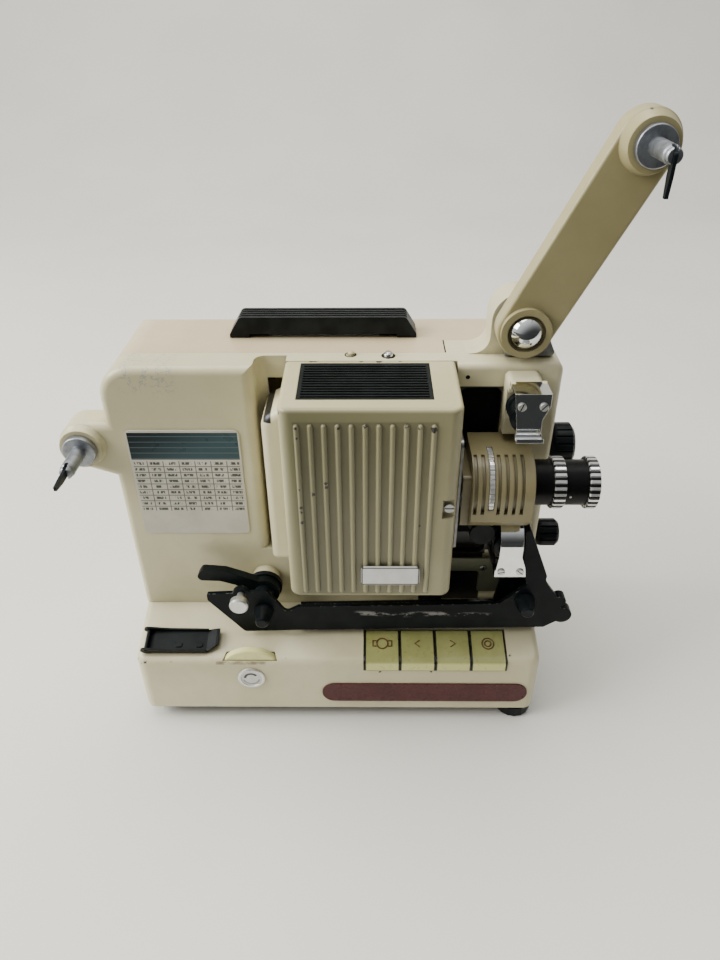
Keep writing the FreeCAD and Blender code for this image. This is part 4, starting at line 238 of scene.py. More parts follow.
def plastic(name, tone, rough=0.34, yellow=None, shine=0.5, dark_parts=None):
    """Moulded plastic with flow clouding, fine scratches and handling shine."""
    look = Look(name, rough)
    look.shader.inputs["Specular IOR Level"].default_value = shine
    other = yellow or tuple(1.7 * part + 0.006 for part in tone)
    colour = look.mix(look.step(look.noise(11, 3.0), 0.3, 0.72), tone, other)
    if dark_parts:
        colour = dark_parts(look, colour)
    # Dirt and painted shade: darker in corners and recesses.
    colour = look.mix(look.grime_and_shade(2.5, 0.55), colour, tuple(0.42 * part for part in tone))
    scratch_noise = look.noise(2.0, 3.0, 0.7, look.stretched(0.25, 1.0, 3.0))
    scratches = look.step(scratch_noise, 0.66, 0.72)
    gloss = look.scaled(look.noise(3.5, 4.0), 0.24, rough - 0.10)
    return look.done(colour, ((look.noise(1.1, 2.0), 0.012), (scratches, -0.01)), gloss)


def bare_metal(name, tone, rough, mottle, grain=(1.0, 1.0, 1.0), spots=0.0):
    """Bare or plated metal with grain, haze and a few dull spots."""
    look = Look(name, rough, 1.0)
    cloud = look.step(look.noise(4.5, 4.0, 0.6), 0.3, 0.72)
    colour = look.mix(cloud, tone, tuple(mottle * part for part in tone))
    spot_mask = look.step(look.noise(1.5, 5.0, 0.7), 0.66, 0.72)
    colour = look.mix(look.times(spot_mask, spots), colour, (0.10, 0.085, 0.06))
    grains = look.noise(0.5, 3.0, 0.6, look.stretched(*grain))
    haze = look.scaled(look.noise(6, 4.0, 0.6), rough * 0.9, rough * 0.55)
    gloss = look.scaled(grains, rough * 0.3, haze)
    return look.done(colour, ((grains, 0.006),), gloss)


def casting_parts(look, colour):
    """Black film chamber and hinge cheek, and light scratches on the left shoulder."""
    chamber = look.inside({"X": (67.0, 91.0), "Y": (-30.0, 10.0), "Z": (103.0, 218.2)})
    cheek = look.inside({"X": (90.0, 111.0), "Y": (-47.0, -26.0), "Z": (106.0, 117.0)})
    window = look.inside({"X": (-36.3, -32.0), "Y": (-60.0, -10.0), "Z": (205.9, 217.8)})
    below = look.inside({"X": (51.0, 90.0), "Y": (-31.8, 6.0), "Z": (58.0, 103.5)})
    above = look.calc("MAXIMUM", chamber, cheek)
    black = look.calc("MAXIMUM", above, look.calc("MAXIMUM", window, below))
    colour = look.mix(black, colour, (0.008, 0.009, 0.010))
    shoulder = look.inside({"X": (-112.0, -84.0), "Z": (217.0, 232.0)}, 3.0)
    curls = look.calc("ABSOLUTE", look.calc("SUBTRACT", look.noise(7, 3.0, 0.6), 0.5))
    scratch = look.times(shoulder, look.step(curls, 0.022, 0.008))
    return look.mix(look.times(scratch, 0.8), colour, (0.36, 0.37, 0.36))


def cover_parts(look, colour):
    """Painted shade on the front of the lamp house, darkest on the left, and dust and painted shade
    between the ribs.
    """
    ribs = look.inside({"X": (-17.8, 52.8), "Z": (112.0, 222.5)}, 0.5)
    depth = look.step(look.along("Y"), -74.0, -73.15)
    front = look.step(look.along("Y"), -72.0, -72.8)
    valley = look.times(look.times(ribs, depth), front)
    # Painted shade on the front face, darkest on the left and fading to the right.
    across = look.scaled(look.step(look.along("X"), -30.0, 66.0), -0.45, 0.92)
    aged_tone_and_front_shade = look.times(look.step(look.along("Y"), -69.0, -72.6), across)
    colour = look.mix(aged_tone_and_front_shade, colour, (0.200, 0.188, 0.094))
    # Dust and painted shade in the valleys between the ribs.
    return look.mix(look.times(valley, 0.42), colour, (0.085, 0.080, 0.044))


def base_parts(look, colour):
    """Worn brown line on the front edge and dark seams beside the keys."""
    line = look.inside({"X": (-75.0, -44.0), "Y": (-71.0, -68.6), "Z": (49.6, 51.6)}, 0.4)
    worn = look.times(line, look.step(look.noise(5.0, 4.0, 0.6), 0.36, 0.60))
    colour = look.mix(look.times(worn, 0.7), colour, (0.14, 0.09, 0.045))
    seam = look.inside({"X": (15.9, 104.4), "Y": (-70.4, -49.0), "Z": (44.6, 59.6)}, 0.25)
    return look.mix(look.times(seam, 0.9), colour, (0.02, 0.018, 0.012))


KEYS_LEFT, KEY_STEP = 16.9, 21.85


def key_parts(look, colour):
    """Dark joints between the keys, and the fronts painted paler than the tops as painted light."""
    whole_turns = 10.0
    place = look.scaled(look.along("X"), 1 / KEY_STEP, whole_turns - KEYS_LEFT / KEY_STEP)
    turn = look.calc("FRACT", place)
    key = look.within(turn, 0.036, 0.941, 0.006)
    # Painted light: the key fronts are paler than the tops.
    front = look.step(look.along("Z"), 52.6, 50.8)
    colour = look.mix(front, colour, (0.64, 0.632, 0.245))
    return look.mix(key, (0.012, 0.011, 0.008), colour)


# Single chips, each as x, y, z and radius
COVER_CHIPS = (
    (17.4, -73.6, 220.4, 0.9), (43.7, -73.6, 219.6, 0.9), (50.5, -73.6, 218.8, 1.5),
    (4.7, -73.6, 219.8, 0.7), (37.3, -73.6, 220.4, 0.8), (65.0, -50.5, 216.0, 1.9),
    (-11.4, -23.0, 231.0, 1.2), (-9.0, -23.0, 231.0, 1.0), (15.1, -23.0, 231.0, 1.0),
    (24.6, -23.0, 231.0, 1.6), (35.7, -23.0, 231.0, 0.9), (65.0, -60.0, 196.0, 0.7),
    (-25.0, -68.0, 111.0, 1.0), (62.0, -73.0, 111.0, 0.9), (-24.5, -70.5, 226.0, 0.7),
    (-15.9, -74.2, 219.6, 0.7), (-15.8, -74.2, 214.0, 0.5), (-15.9, -74.2, 184.0, 0.6),
    (-15.7, -74.2, 172.5, 0.8), (-15.8, -74.2, 169.8, 0.7), (-15.7, -74.2, 163.0, 0.8),
    (-9.1, -74.2, 181.0, 0.9), (-2.5, -74.2, 188.0, 0.9), (-2.4, -74.2, 185.5, 0.8),
    (46.0, -73.5, 160.0, 0.6),
)
BASE_CHIPS = (
    (-121.8, -70.0, 49.9, 1.1), (-118.5, -70.0, 51.2, 1.0), (-124.2, -67.0, 51.0, 0.8),
    (-102.3, -70.0, 51.3, 0.7), (-124.2, -69.5, 25.8, 0.8), (123.2, -69.6, 51.1, 1.2),
    (106.0, -66.0, 54.5, 0.9), (26.2, -70.0, 43.6, 0.6), (58.0, -70.0, 43.8, 0.7),
    (-124.6, -69.0, 38.0, 0.6), (-31.5, -68.0, 54.0, 0.8), (-76.6, -67.0, 54.2, 0.7),
)
CAST_CHIPS = (
    (121.6, -28.5, 225.3, 1.0), (121.8, -28.0, 218.5, 0.8), (121.8, -27.6, 172.0, 0.7),
    (102.0, -27.0, 192.0, 0.6),
)
ARM_CHIPS = (
    (123.0, -28.0, 336.0, 1.0), (88.0, -29.0, 268.0, 0.6), (140.0, -29.0, 351.0, 0.7),
)

# Enamels: fresh tone, aged tone, share of chips

cream = enamel("cream_enamel", (0.690, 0.642, 0.425), (0.600, 0.552, 0.345), 0.26,
               chips_at=CAST_CHIPS, dark_parts=casting_parts)
cream_base = enamel("cream_enamel_base", (0.665, 0.618, 0.410), (0.580, 0.532, 0.335),
                    chips_at=BASE_CHIPS, dark_parts=base_parts)
# The lamp house, the arm, the lens carrier and the guide plate have the casting's cream enamel; their
# darker tones are painted shade.
cream_cover_shaded = enamel("cream_enamel_cover_shaded", (0.560, 0.512, 0.300), (0.490, 0.442, 0.245),
                     chips_at=COVER_CHIPS, dark_parts=cover_parts)
cream_arm_shaded = enamel("cream_enamel_arm_shaded", (0.400, 0.352, 0.180), (0.350, 0.302, 0.145),
                   chips_at=ARM_CHIPS)
cream_lens_shaded = enamel("cream_enamel_lens_shaded", (0.270, 0.232, 0.118), (0.230, 0.192, 0.092), 0.2, 0.5)
guide_plate_shaded_cream = enamel("guide_plate_shaded_enamel", (0.175, 0.180, 0.115), (0.140, 0.145, 0.090), 0.2, 0.5)
beige = enamel("beige_enamel", (0.640, 0.525, 0.335), (0.585, 0.470, 0.290), 0.26)

# Paints, plastics and metals: tone, roughness

black_metal = black_paint("black_paint", (0.004, 0.006, 0.006))
black_deep = black_paint("black_inside", (0.004, 0.004, 0.005), 0.6, 0.0)
barrel_black = black_paint("barrel_black", (0.004, 0.004, 0.004), 0.3, 0.12)
black_plastic = plastic("black_plastic", (0.003, 0.005, 0.006), 0.34, shine=0.14)
ivory = plastic("ivory_plastic", (0.335, 0.338, 0.125), 0.28, (0.290, 0.290, 0.095),
                dark_parts=key_parts)
ivory_wheel = plastic("ivory_wheel", (0.860, 0.835, 0.390), 0.3, (0.780, 0.750, 0.320))
chrome = bare_metal("chrome", (0.80, 0.81, 0.80), 0.05, 0.92, spots=0.45)
zinc = bare_metal("zinc", (0.40, 0.42, 0.45), 0.40, 0.60, spots=0.45)
steel = bare_metal("ground_steel", (0.50, 0.50, 0.49), 0.28, 0.80, (0.3, 2.0, 2.0), 0.25)
satin = bare_metal("satin_metal", (0.66, 0.66, 0.64), 0.34, 0.9, (1.0, 0.2, 1.0), 0.15)
gate_steel = bare_metal("gate_steel", (0.24, 0.24, 0.235), 0.34, 0.75, (1.0, 1.0, 0.3), 0.3)


def chute_paint():
    """Black paint of the chute, rubbed to bare metal where the film and the hand touch it."""
    look = Look("chute_paint", 0.36)
    look.shader.inputs["Specular IOR Level"].default_value = 0.10
    x, z = look.along("X"), look.along("Z")
    cloudy = look.step(look.noise(14, 4.0), 0.35, 0.7)
    colour = look.mix(cloudy, (0.003, 0.005, 0.006), (0.007, 0.010, 0.011))
    middle = look.calc("ADD", z, look.times(look.noise(30, 2.0), 7.0))
    strip = look.times(look.within(x, 12.0, 92.0, 6.0), look.within(middle, 79.4, 82.2, 0.9))
    ragged = look.step(look.noise(6, 6.0, 0.75, look.stretched(0.45, 1.0, 1.0)), 0.47, 0.56)
    scuffs = look.times(strip, ragged)
    rubbed = look.calc("MAXIMUM", scuffs, look.wear(0.6, 2.6, 0.42))
    colour = look.mix(look.times(rubbed, 0.8), colour, (0.30, 0.29, 0.27))
    dust = look.step(look.noise(1.8, 5.0, 0.7), 0.58, 0.74)
    colour = look.mix(look.times(dust, 0.025), colour, (0.18, 0.18, 0.17))
    gloss = look.scaled(look.noise(4, 3.0), 0.3, 0.22)
    return look.done(colour, ((look.noise(1.0, 2.0), 0.02), (rubbed, -0.03)), gloss)


LENS_Y, LENS_Z = -48.0, 170.9


def barred_chrome(name, bars, low=0.27, high=0.73, dark=(0.004, 0.004, 0.004)):
    """Chrome rim with blackened bars at even angles round the lens axis."""
    look = Look(name, 0.12, 1.0)
    look.shader.inputs["Specular IOR Level"].default_value = 0.3
    centred = look.node("ShaderNodeVectorMath", {
        0: look.place, 1: (0.0, -LENS_Y * MM, -LENS_Z * MM)}, operation="ADD").outputs[0]
    parts = look.node("ShaderNodeSeparateXYZ", {0: centred})
    angle = look.calc("ARCTAN2", parts.outputs[2], parts.outputs[1])
    turn = look.calc("FRACT", look.scaled(angle, bars / (2 * math.pi), 40.25))
    bar = look.within(turn, low, high, 0.03)
    haze = look.step(look.noise(3, 4.0, 0.6), 0.3, 0.75)
    bright = look.mix(haze, (0.86, 0.86, 0.84), (0.74, 0.74, 0.71))
    colour = look.mix(bar, bright, dark)
    gloss = look.scaled(bar, 0.3, 0.08)
    shine = look.scaled(bar, -0.6, 0.6)
    return look.done(colour, ((look.noise(0.8, 2.0), 0.006),), gloss, shine, 0.2)


def strip_enamel():
    """Maroon enamel of the bare name strip."""
    look = Look("maroon_enamel", 0.34)
    look.shader.inputs["Specular IOR Level"].default_value = 0.25
    cloudy = look.step(look.noise(18, 3.0), 0.3, 0.7)
    colour = look.mix(cloudy, (0.086, 0.020, 0.021), (0.066, 0.016, 0.017))
    rubbed = look.wear(0.5, 2.6, 0.3)
    colour = look.mix(rubbed, colour, (0.42, 0.36, 0.30))
    gloss = look.scaled(look.noise(5, 4.0), 0.2, 0.18)
    return look.done(colour, ((look.noise(1.2, 2.0), 0.012),), gloss, soft_edge=0.3)


def clear_glass(name, tint):
    """Coated glass with dust."""
    clean = 0.03
    look = Look(name, clean)
    look.shader.inputs["Transmission Weight"].default_value = 0.85
    look.shader.inputs["IOR"].default_value = 1.5
    dust = look.step(look.noise(1.2, 5.0, 0.7), 0.56, 0.76)
    colour = look.mix(look.times(dust, 0.35), tint, (0.60, 0.58, 0.52))
    gloss = look.scaled(dust, 0.15, clean)
    return look.done(colour, (), gloss, soft_edge=0.1)


LABEL = {"left": -115.3, "right": -52.2, "bottom": 122.5, "top": 194.0}


def label_print():
    """Plain ruled data plate: dark head, ruled table and an empty foot."""
    look = Look("label_print", 0.34)
    look.shader.inputs["Specular IOR Level"].default_value = 0.22
    x, z = look.along("X"), look.along("Z")
    u = look.calc("DIVIDE", look.calc("SUBTRACT", x, LABEL["left"]), LABEL["right"] - LABEL["left"])
    v = look.calc("DIVIDE", look.calc("SUBTRACT", LABEL["top"], z), LABEL["top"] - LABEL["bottom"])
    cloudy = look.step(look.noise(15, 4.0), 0.3, 0.7)
    paper = look.mix(cloudy, (0.64, 0.61, 0.52), (0.56, 0.53, 0.44))
    column = look.calc("FRACT", look.times(u, 7.0))
    row = look.calc("FRACT", look.times(look.calc("SUBTRACT", v, 0.27), 18.0))
    upright = look.within(column, 0.0, 0.07, 0.02)
    rule = look.calc("MAXIMUM", upright, look.within(row, 0.0, 0.16, 0.05))
    ink_row = look.within(row, 0.32, 0.78, 0.06)
    ink_column = look.within(column, 0.2, 0.82, 0.05)
    dashes = look.step(look.noise(0.9, 2.0, 0.5, look.stretched(1.0, 1.0, 0.2)), 0.42, 0.5)
    ink = look.times(look.times(ink_row, ink_column), look.times(dashes, 0.9))
    table_part = look.times(look.within(v, 0.28, 0.765, 0.002), look.within(u, 0.02, 0.98, 0.004))
    marks = look.times(table_part, look.calc("MAXIMUM", look.times(rule, 0.75), ink))
    colour = look.mix(marks, paper, (0.030, 0.036, 0.038))
    sweep = look.step(look.scaled(u, 0.55, v), 0.06, 0.62)
    dark = look.mix(sweep, (0.006, 0.013, 0.015), (0.045, 0.080, 0.092))
    head = look.times(look.within(v, 0.02, 0.265, 0.003), look.within(u, 0.015, 0.985, 0.003))
    colour = look.mix(head, colour, dark)
    grooves = look.within(look.calc("FRACT", look.times(v, 20.0)), 0.0, 0.14, 0.04)
    colour = look.mix(look.times(look.times(head, grooves), 0.5), colour, (0.15, 0.19, 0.20))
    gloss = look.scaled(look.noise(8, 4.0), 0.25, 0.18)
    return look.done(colour, ((marks, -0.01),), gloss, soft_edge=0.2)


MARK_X, MARK_Z = -54.0, 37.9


def mark_face():
    """White disc with a dark arc above and a grey ring below."""
    look = Look("mark_face", 0.3, coat=0.3)
    across = look.calc("SUBTRACT", look.along("X"), MARK_X)
    above = look.calc("SUBTRACT", look.along("Z"), MARK_Z)
    angle = look.calc("ARCTAN2", above, across)
    square = look.calc("ADD", look.times(across, across), look.times(above, above))
    radius = look.calc("SQRT", square)
    taper = look.scaled(look.calc("ABSOLUTE", look.calc("SUBTRACT", angle, 2.1)), -0.9, 1.6)
    arc = look.times(look.within(angle, 0.6, 3.1, 0.06),
                   look.within(look.calc("SUBTRACT", radius, 3.1), 0.0, 1.6, 0.15))
    arc = look.times(arc, look.step(taper, 0.0, 0.25))
    ring = look.times(look.within(angle, -2.9, -0.2, 0.08), look.within(radius, 4.4, 5.6, 0.15))
    cloudy = look.step(look.noise(4, 3.0), 0.3, 0.7)
    colour = look.mix(cloudy, (0.74, 0.73, 0.70), (0.66, 0.65, 0.61))
    colour = look.mix(look.times(ring, 0.7), colour, (0.16, 0.16, 0.15))
    colour = look.mix(arc, colour, NEAR_BLACK)
    return look.done(colour, ((look.noise(1.5, 2.0), 0.01),), look.scaled(look.noise(3), 0.2, 0.2))


def badge_face():
    """Plain silver plate with a thin dark rim."""
    look = Look("badge_face", 0.32)
    plain = look.inside({"X": (15.9, 46.2), "Z": (121.5, 132.4)}, 0.15)
    rim = look.inside({"X": (15.3, 46.8), "Z": (120.9, 133.0)}, 0.12)
    face = look.mix(look.step(look.noise(6, 4.0), 0.3, 0.7), (0.80, 0.80, 0.77), (0.72, 0.72, 0.68))
    colour = look.mix(plain, NEAR_BLACK, face)
    colour = look.mix(rim, (0.62, 0.62, 0.58), colour)
    gloss = look.scaled(look.noise(3, 4.0), 0.2, 0.24)
    return look.done(colour, ((look.noise(1.0, 2.0), 0.008),), gloss, look.times(plain, 0.12))


chute_black = chute_paint()
zoom_chrome = barred_chrome("barred_chrome_zoom", 24)
fine_knurl = barred_chrome("fine_knurl", 144, 0.36, 0.64, (0.22, 0.21, 0.19))
maroon = strip_enamel()
glass = clear_glass("lens_glass_look", (0.55, 0.60, 0.72))
bulb_glass = clear_glass("bulb_glass_look", (0.92, 0.92, 0.90))
rubber = plastic("rubber", (0.014, 0.014, 0.014), 0.62)
brown_ink = plastic("brown_ink", (0.13, 0.060, 0.012), 0.5, (0.08, 0.035, 0.008))
badge_look = badge_face()
silver = bare_metal("silver_plate", (0.74, 0.73, 0.70), 0.30, 0.92, (0.2, 1.0, 2.0), 0.1)
white_paint = plastic("white_paint", (0.62, 0.61, 0.57), 0.36, (0.54, 0.53, 0.48))
label_look = label_print()
mark_look = mark_face()

NODE_LOOKS = {
    cream: "front_casting",
    cream_base: "base_housing",
    cream_cover_shaded: "lamp_cover top_button",
    cream_lens_shaded: "lens_carrier",
    guide_plate_shaded_cream: "lower_guide_plate",
    cream_arm_shaded: "reel_arm",
    beige: "rear_cover",
    black_metal: "bottom_plate film_cutter_base film_cutter_lever lamp_grille chute_lever",
    black_deep: "film_path_liner shutter condenser_holder",
    barrel_black: "lens_barrel",
    chute_black: "film_chute",
    black_plastic: ("mains_inlet carry_handle upper_sprocket lower_sprocket loop_guide "
                    "chute_collar chute_roller_left chute_roller_right supply_latch takeup_latch "
                    "inching_knob framing_knob tilt_foot_front tilt_foot_rear"),
    ivory: "key_lamp key_reverse key_forward key_stop",
    ivory_wheel: "speed_thumbwheel",
    chrome: "upper_shoe lower_shoe arm_pivot_cap",
    fine_knurl: "focus_ring",
    zoom_chrome: "zoom_ring lens_front_ring",
    zinc: "arm_bracket_plate supply_spindle takeup_spindle",
    steel: "key_shaft cover_screw pressure_plate main_shaft lamp_mount",
    gate_steel: "gate_plate",
    satin: "chute_thumbscrew",
    badge_look: "badge_plate",
    maroon: "name_strip",
    glass: "lens_glass condenser_lens",
    bulb_glass: "lamp_bulb",
    rubber: "foot_left_front foot_left_rear",
}
for look_of_nodes, words in NODE_LOOKS.items():
    for word in words.split():
        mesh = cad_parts[word].data
        mesh.materials.clear()
        mesh.materials.append(look_of_nodes)


# Mesh helpers

def placed(axis, first, second, depth):
    """Point from two coordinates square to an axis, Y or Z, and one along it."""
    if axis == "Y":
        return Vector((first, depth, second))
    return Vector((first, second, depth))


def round_point(middle, radius, angle):
    """Point on a circle round a middle, from an angle in radians."""
    return middle[0] + radius * math.cos(angle), middle[1] + radius * math.sin(angle)


def show(name, data, body):
    """Object with this data, in the scene, that rides on a body."""
    thing = bpy.data.objects.new(name, data)
    bpy.context.scene.collection.objects.link(thing)
    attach(thing, body)
    return thing


def add_piece(name, shape, look, body, smooth=True):
    """Turn a bmesh in millimetres into a piece that rides on a body."""
    bmesh.ops.recalc_face_normals(shape, faces=shape.faces)
    data = bpy.data.meshes.new(name)
    shape.to_mesh(data)
    shape.free()
    data.transform(Matrix.Scale(MM, 4))
    for face in data.polygons:
        face.use_smooth = smooth
    data.materials.append(look)
    thing = show(name, data, body)
    return thing


def rounded_outline(low, high, radius, steps=6):
    """Corners of a rounded rectangle between two corner points."""
    points = []
    for middle_x, middle_y, start in (
            (high[0] - radius, high[1] - radius, 0), (low[0] + radius, high[1] - radius, 90),
            (low[0] + radius, low[1] + radius, 180), (high[0] - radius, low[1] + radius, 270)):
        for index in range(steps + 1):
            angle = math.radians(start + 90 * index / steps)
            points.append(round_point((middle_x, middle_y), radius, angle))
    return points


def slab(name, outline, axis, span, look, body, edge=0.15):
    """Plate with an outline, thick along an axis, with softened edges."""
    shape = bmesh.new()
    low = [shape.verts.new(placed(axis, a, b, span[0])) for a, b in outline]
    high = [shape.verts.new(placed(axis, a, b, span[1])) for a, b in outline]
    shape.faces.new(low)
    shape.faces.new(high)
    for index in range(len(outline)):
        following = (index + 1) % len(outline)
        shape.faces.new((low[index], low[following], high[following], high[index]))
    thing = add_piece(name, shape, look, body, smooth=False)
    soften = thing.modifiers.new("Edges", "BEVEL")
    soften.width = edge * MM
    soften.segments = 2
    soften.angle_limit = math.radians(50)
    return thing


def turned(name, profile, axis, centre, look, body, steps=40):
    """Solid turned round an axis from (radius, depth) points; a radius of nothing is a pole."""
    shape = bmesh.new()
    rings = []
    for radius, depth in profile:
        if radius == 0.0:
            rings.append([shape.verts.new(placed(axis, *centre, depth))] * steps)
            continue
        rings.append([
            shape.verts.new(placed(
                axis, *round_point(centre, radius, 2 * math.pi * index / steps), depth))
            for index in range(steps)
        ])
    for first, second in zip(rings, rings[1:]):
        for index in range(steps):
            following = (index + 1) % steps
            corners = []
            for corner in (first[index], first[following], second[following], second[index]):
                if corner not in corners:
                    corners.append(corner)
            if len(corners) > 2:
                shape.faces.new(corners)
    thing = add_piece(name, shape, look, body)
    split = thing.modifiers.new("Edges", "EDGE_SPLIT")
    split.split_angle = math.radians(35)
    return thing


def wire(name, paths, radius, look, body):
    """Thin round lines through points, each path open or closed."""
    curve = bpy.data.curves.new(name, "CURVE")
    curve.dimensions = "3D"
    curve.bevel_depth = radius * MM
    curve.bevel_resolution = 2
    for points, closed in paths:
        line = curve.splines.new("POLY")
        line.points.add(len(points) - 1)
        for point, value in zip(line.points, points):
            point.co = (value[0] * MM, value[1] * MM, value[2] * MM, 1.0)
        line.use_cyclic_u = closed
    curve.materials.append(look)
    return show(name, curve, body)


def screw_head(name, centre, face, radius, look, body, height=1.0, slot_angle=30.0):
    """Slotted cheese-head screw that stands out to the front from a face."""
    top = face - height
    rim = top + height * 0.25
    turned(name, [(0.0, top), (radius * 0.86, top), (radius, rim), (radius, face)],
           "Y", centre, look, body, 28)
    cosine, sine = math.cos(math.radians(slot_angle)), math.sin(math.radians(slot_angle))
    half_long, half_wide = radius * 0.92, radius * 0.13
    corners = [(-half_long, -half_wide), (half_long, -half_wide),
               (half_long, half_wide), (-half_long, half_wide)]
    outline = [(centre[0] + a * cosine - b * sine, centre[1] + a * sine + b * cosine)
               for a, b in corners]
    # The slot is a thin black strip: painted shade standing in for its groove.
    slab(name + "_slot", outline, "Y", (top - 0.03, top + 0.2), black_deep, body, 0.02)


# Data plate and round mark

LABEL_FACE = -31.9
LABEL_BACK = -31.1
BASE_FRONT = -70.0

slab("label_plate",
     rounded_outline((LABEL["left"], LABEL["bottom"]), (LABEL["right"], LABEL["top"]), 3.0),
     "Y", (LABEL_FACE, LABEL_BACK), label_look, "housing", 0.12)
turned("mark_rim",
       [(6.4, BASE_FRONT - 0.3), (6.6, BASE_FRONT - 1.0), (7.6, BASE_FRONT - 1.2),
        (8.5, BASE_FRONT - 0.8), (8.6, BASE_FRONT + 0.1)],
       "Y", (MARK_X, MARK_Z), silver, "housing")
turned("mark_disc", [(0.0, BASE_FRONT - 0.6), (6.5, BASE_FRONT - 0.6), (6.6, BASE_FRONT + 0.1)],
       "Y", (MARK_X, MARK_Z), mark_look, "housing")

# Signs on the keys

KEY_SLOPE = 12.7 / 38.8
KEY_SHORTENED = 0.95
KEYS_MIDDLE_Y = -58.6
KEYS_FRONT_Z = 52.3
KEY_CROWN = 0.4
KEY_HALF = 10.7
SIGN_LIFT = 0.05


def on_slope(x, along):
    """Point on the key tops, from the middle of the keys."""
    y = KEYS_MIDDLE_Y + along * KEY_SHORTENED
    return x, y, KEYS_FRONT_Z + KEY_SLOPE * (y - BASE_FRONT) + KEY_CROWN + SIGN_LIFT


def round_path(x, radius, steps=24):
    """Closed circle on a key top."""
    circle = [round_point((x, 0.0), radius, math.radians(360.0 * index / steps))
              for index in range(steps)]
    return [on_slope(across, along) for across, along in circle], True


lamp_x, back_x, forth_x, stop_x = [KEYS_LEFT + KEY_STEP * index + KEY_HALF for index in range(4)]

lamp_paths = [round_path(lamp_x, 3.4)]
for side in (-1, 1):
    inner, outer = lamp_x + side * 3.6, lamp_x + side * 5.8
    tick = [on_slope(inner, -1.8), on_slope(outer, -1.8), on_slope(outer, 1.8), on_slope(inner, 1.8)]
    lamp_paths.append((tick, False))
wire("sign_lamp", lamp_paths, 0.45, brown_ink, "key_lamp_body")
for name, middle, side, body in (("sign_reverse", back_x, -1, "key_reverse_body"),
                                 ("sign_forward", forth_x, 1, "key_forward_body")):
    tail, point = middle - side * 1.4, middle + side * 1.6
    arrow = [on_slope(tail, -2.2), on_slope(point, 0.0), on_slope(tail, 2.2)]
    wire(name, [(arrow, False)], 0.36, brown_ink, body)
wire("sign_stop", [round_path(stop_x, 3.6), round_path(stop_x, 1.9)], 0.42, brown_ink,
     "key_stop_body")

# Small fasteners and marks

SHOE_FACE = -57.2
SHOE_SCREW = 2.2
UPPER_SCREW_Z, LOWER_SCREW_Z = 222.2, 114.4
CASTING_FACE = -27.0
CASTING_TOP = 231.0
STUD = (29.7, -16.1)
BUTTON = (9.4, -14.7)
BARREL_FACE = -60.2

for name, x, z, body, angle in (
        ("shoe_screw_left", 95.05, UPPER_SCREW_Z, "shoe_up", 70),
        ("shoe_screw_right", 106.0, UPPER_SCREW_Z, "shoe_up", 50),
        ("low_shoe_screw_left", 95.7, LOWER_SCREW_Z, "shoe_low", 15),
        ("low_shoe_screw_right", 106.6, LOWER_SCREW_Z, "shoe_low", -40)):
    screw_head(name, (x, z), SHOE_FACE, SHOE_SCREW, satin, body, slot_angle=angle)
screw_head("guide_screw", (90.4, 94.5), -31.0, 1.9, steel, "housing", height=0.5, slot_angle=70)
turned("top_stud",
       [(0.0, CASTING_TOP + 2.4), (1.5, CASTING_TOP + 2.3), (2.4, CASTING_TOP + 1.5),
        (2.7, CASTING_TOP - 0.1)],
       "Z", STUD, chrome, "housing", 24)
turned("stud_ring",
       [(2.6, CASTING_TOP), (2.7, CASTING_TOP + 0.3), (3.7, CASTING_TOP + 0.25),
        (3.9, CASTING_TOP - 0.1)],
       "Z", STUD, black_metal, "housing", 24)
turned("button_shade",
       [(2.55, CASTING_TOP - 0.1), (2.55, CASTING_TOP + 0.12), (3.25, CASTING_TOP + 0.1),
        (3.3, CASTING_TOP - 0.1)],
       "Z", BUTTON, black_metal, "housing", 24)
slab("cover_seam", [(60.3, -11.8), (61.0, -11.8), (61.0, 4.6), (60.3, 4.6)],
     "Z", (CASTING_TOP - 0.1, CASTING_TOP + 0.06), black_deep, "housing", 0.02)
# A black disc: painted shade standing in for a small hole in the casting.
turned("casting_hole",
       [(0.0, CASTING_FACE - 0.1), (1.0, CASTING_FACE - 0.15), (1.3, CASTING_FACE + 0.1)],
       "Y", (71.6, 223.6), black_deep, "housing", 20)
turned("lens_dot", [(0.0, BARREL_FACE - 0.55), (0.6, BARREL_FACE - 0.5), (0.75, BARREL_FACE)],
       "Y", (126.4, 169.7), white_paint, "lens", 20)

# Floor and backdrop, in metres: level, then round and up

SWEEP_START, SWEEP_BEND, SWEEP_HALF_WIDTH = -2.5, 1.1, 4.0
SWEEP_RADIUS, SWEEP_TOP, SWEEP_STEPS = 0.8, 3.4, 12
TABLE_EDGE, DARK_FROM = -305.0, -345.0

floor_look = Look("floor", 0.55)
cloudy = floor_look.step(floor_look.noise(260, 3.0), 0.3, 0.7)
floor_tone = floor_look.mix(cloudy, (0.80, 0.79, 0.725), (0.76, 0.745, 0.675))
# Past the table's edge the floor is painted near black: painted shade standing in for the dark room
# in front.
past_edge = floor_look.step(floor_look.along("Y"), TABLE_EDGE, DARK_FROM)
floor_tone = floor_look.mix(past_edge, floor_tone, (0.010, 0.012, 0.012))
floor_material = floor_look.done(floor_tone, ((floor_look.noise(3, 2.0), 0.01),), soft_edge=0.1)

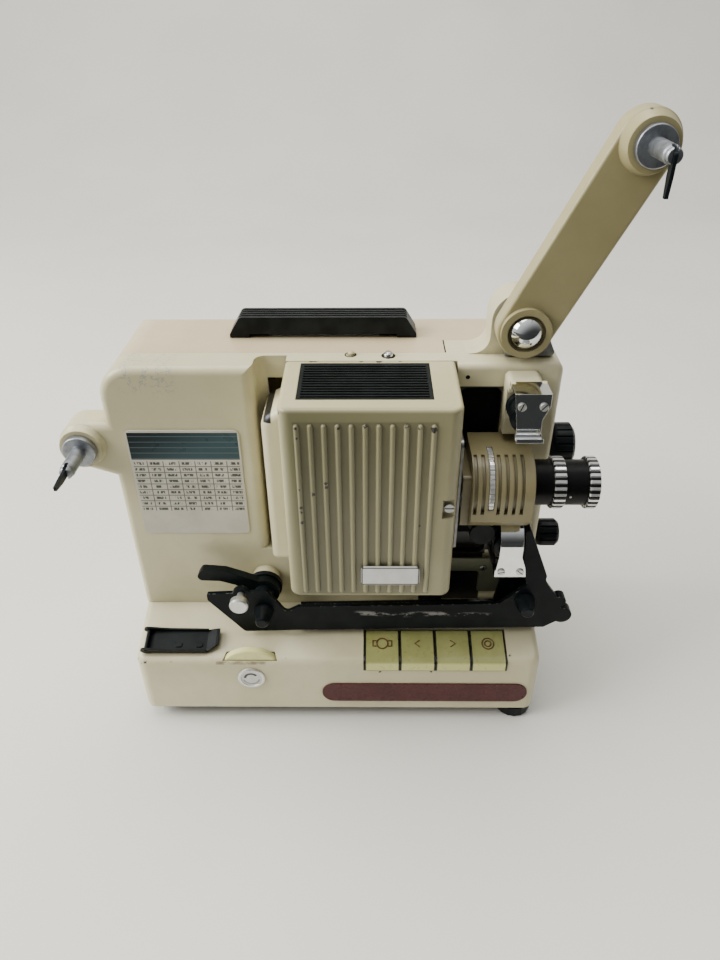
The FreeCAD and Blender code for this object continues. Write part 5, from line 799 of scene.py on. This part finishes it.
sweep_points = [(SWEEP_START, 0.0), (SWEEP_BEND, 0.0)]
for index in range(1, SWEEP_STEPS + 1):
    angle = math.radians(90 * index / SWEEP_STEPS)
    sweep_points.append((SWEEP_BEND + SWEEP_RADIUS * math.sin(angle),
                         SWEEP_RADIUS - SWEEP_RADIUS * math.cos(angle)))
sweep_points.append((SWEEP_BEND + SWEEP_RADIUS, SWEEP_TOP))
sweep = bmesh.new()
rows = [[sweep.verts.new((side * SWEEP_HALF_WIDTH, y, z)) for side in (-1, 1)]
        for y, z in sweep_points]
for first, second in zip(rows, rows[1:]):
    sweep.faces.new((first[0], first[1], second[1], second[0]))
sweep_mesh = bpy.data.meshes.new("floor")
sweep.to_mesh(sweep_mesh)
sweep.free()
for face in sweep_mesh.polygons:
    face.use_smooth = True
sweep_mesh.materials.append(floor_material)
floor = bpy.data.objects.new("floor", sweep_mesh)
bpy.context.scene.collection.objects.link(floor)


def soft_light(name, place, aim, width, power, colour):
    """Rectangular area light that looks at a point."""
    data = bpy.data.lights.new(name, "AREA")
    data.shape = "RECTANGLE"
    data.size = width
    data.size_y = width * 0.8
    data.energy = power
    data.color = colour
    light = bpy.data.objects.new(name, data)
    bpy.context.scene.collection.objects.link(light)
    light.location = place
    light.rotation_euler = (Vector(aim) - Vector(place)).to_track_quat("-Z", "Y").to_euler()


soft_light("window", (-1.4, -0.25, 1.1), (0.0, 0.0, 0.12), 1.1, 38.0, (1.0, 0.985, 0.94))
soft_light("ceiling", (-0.2, 0.4, 2.0), (0.0, 0.0, 0.1), 1.8, 35.0, (1.0, 0.985, 0.95))

# The room is bright on the left, above and behind, and dark in front of the machine

BRIGHT_SIDE = (-0.52, 0.62, 0.58)
ROOM_TONE = (0.97, 0.98, 1.0, 1.0)
ROOM_LIGHT = (("From Min", -0.75), ("From Max", 0.75), ("To Min", 0.05), ("To Max", 1.0))

world = bpy.data.worlds.new("World")
world.use_nodes = True
room = world.node_tree
way = room.nodes.new("ShaderNodeTexCoord").outputs["Generated"]
toward = room.nodes.new("ShaderNodeVectorMath")
toward.operation = "DOT_PRODUCT"
toward.inputs[1].default_value = BRIGHT_SIDE
room.links.new(way, toward.inputs[0])
spread = room.nodes.new("ShaderNodeMapRange")
spread.interpolation_type = "SMOOTHSTEP"
for socket, value in ROOM_LIGHT:
    spread.inputs[socket].default_value = value
room.links.new(toward.outputs["Value"], spread.inputs["Value"])
room.nodes["Background"].inputs["Color"].default_value = ROOM_TONE
room.links.new(spread.outputs[0], room.nodes["Background"].inputs["Strength"])
bpy.context.scene.world = world
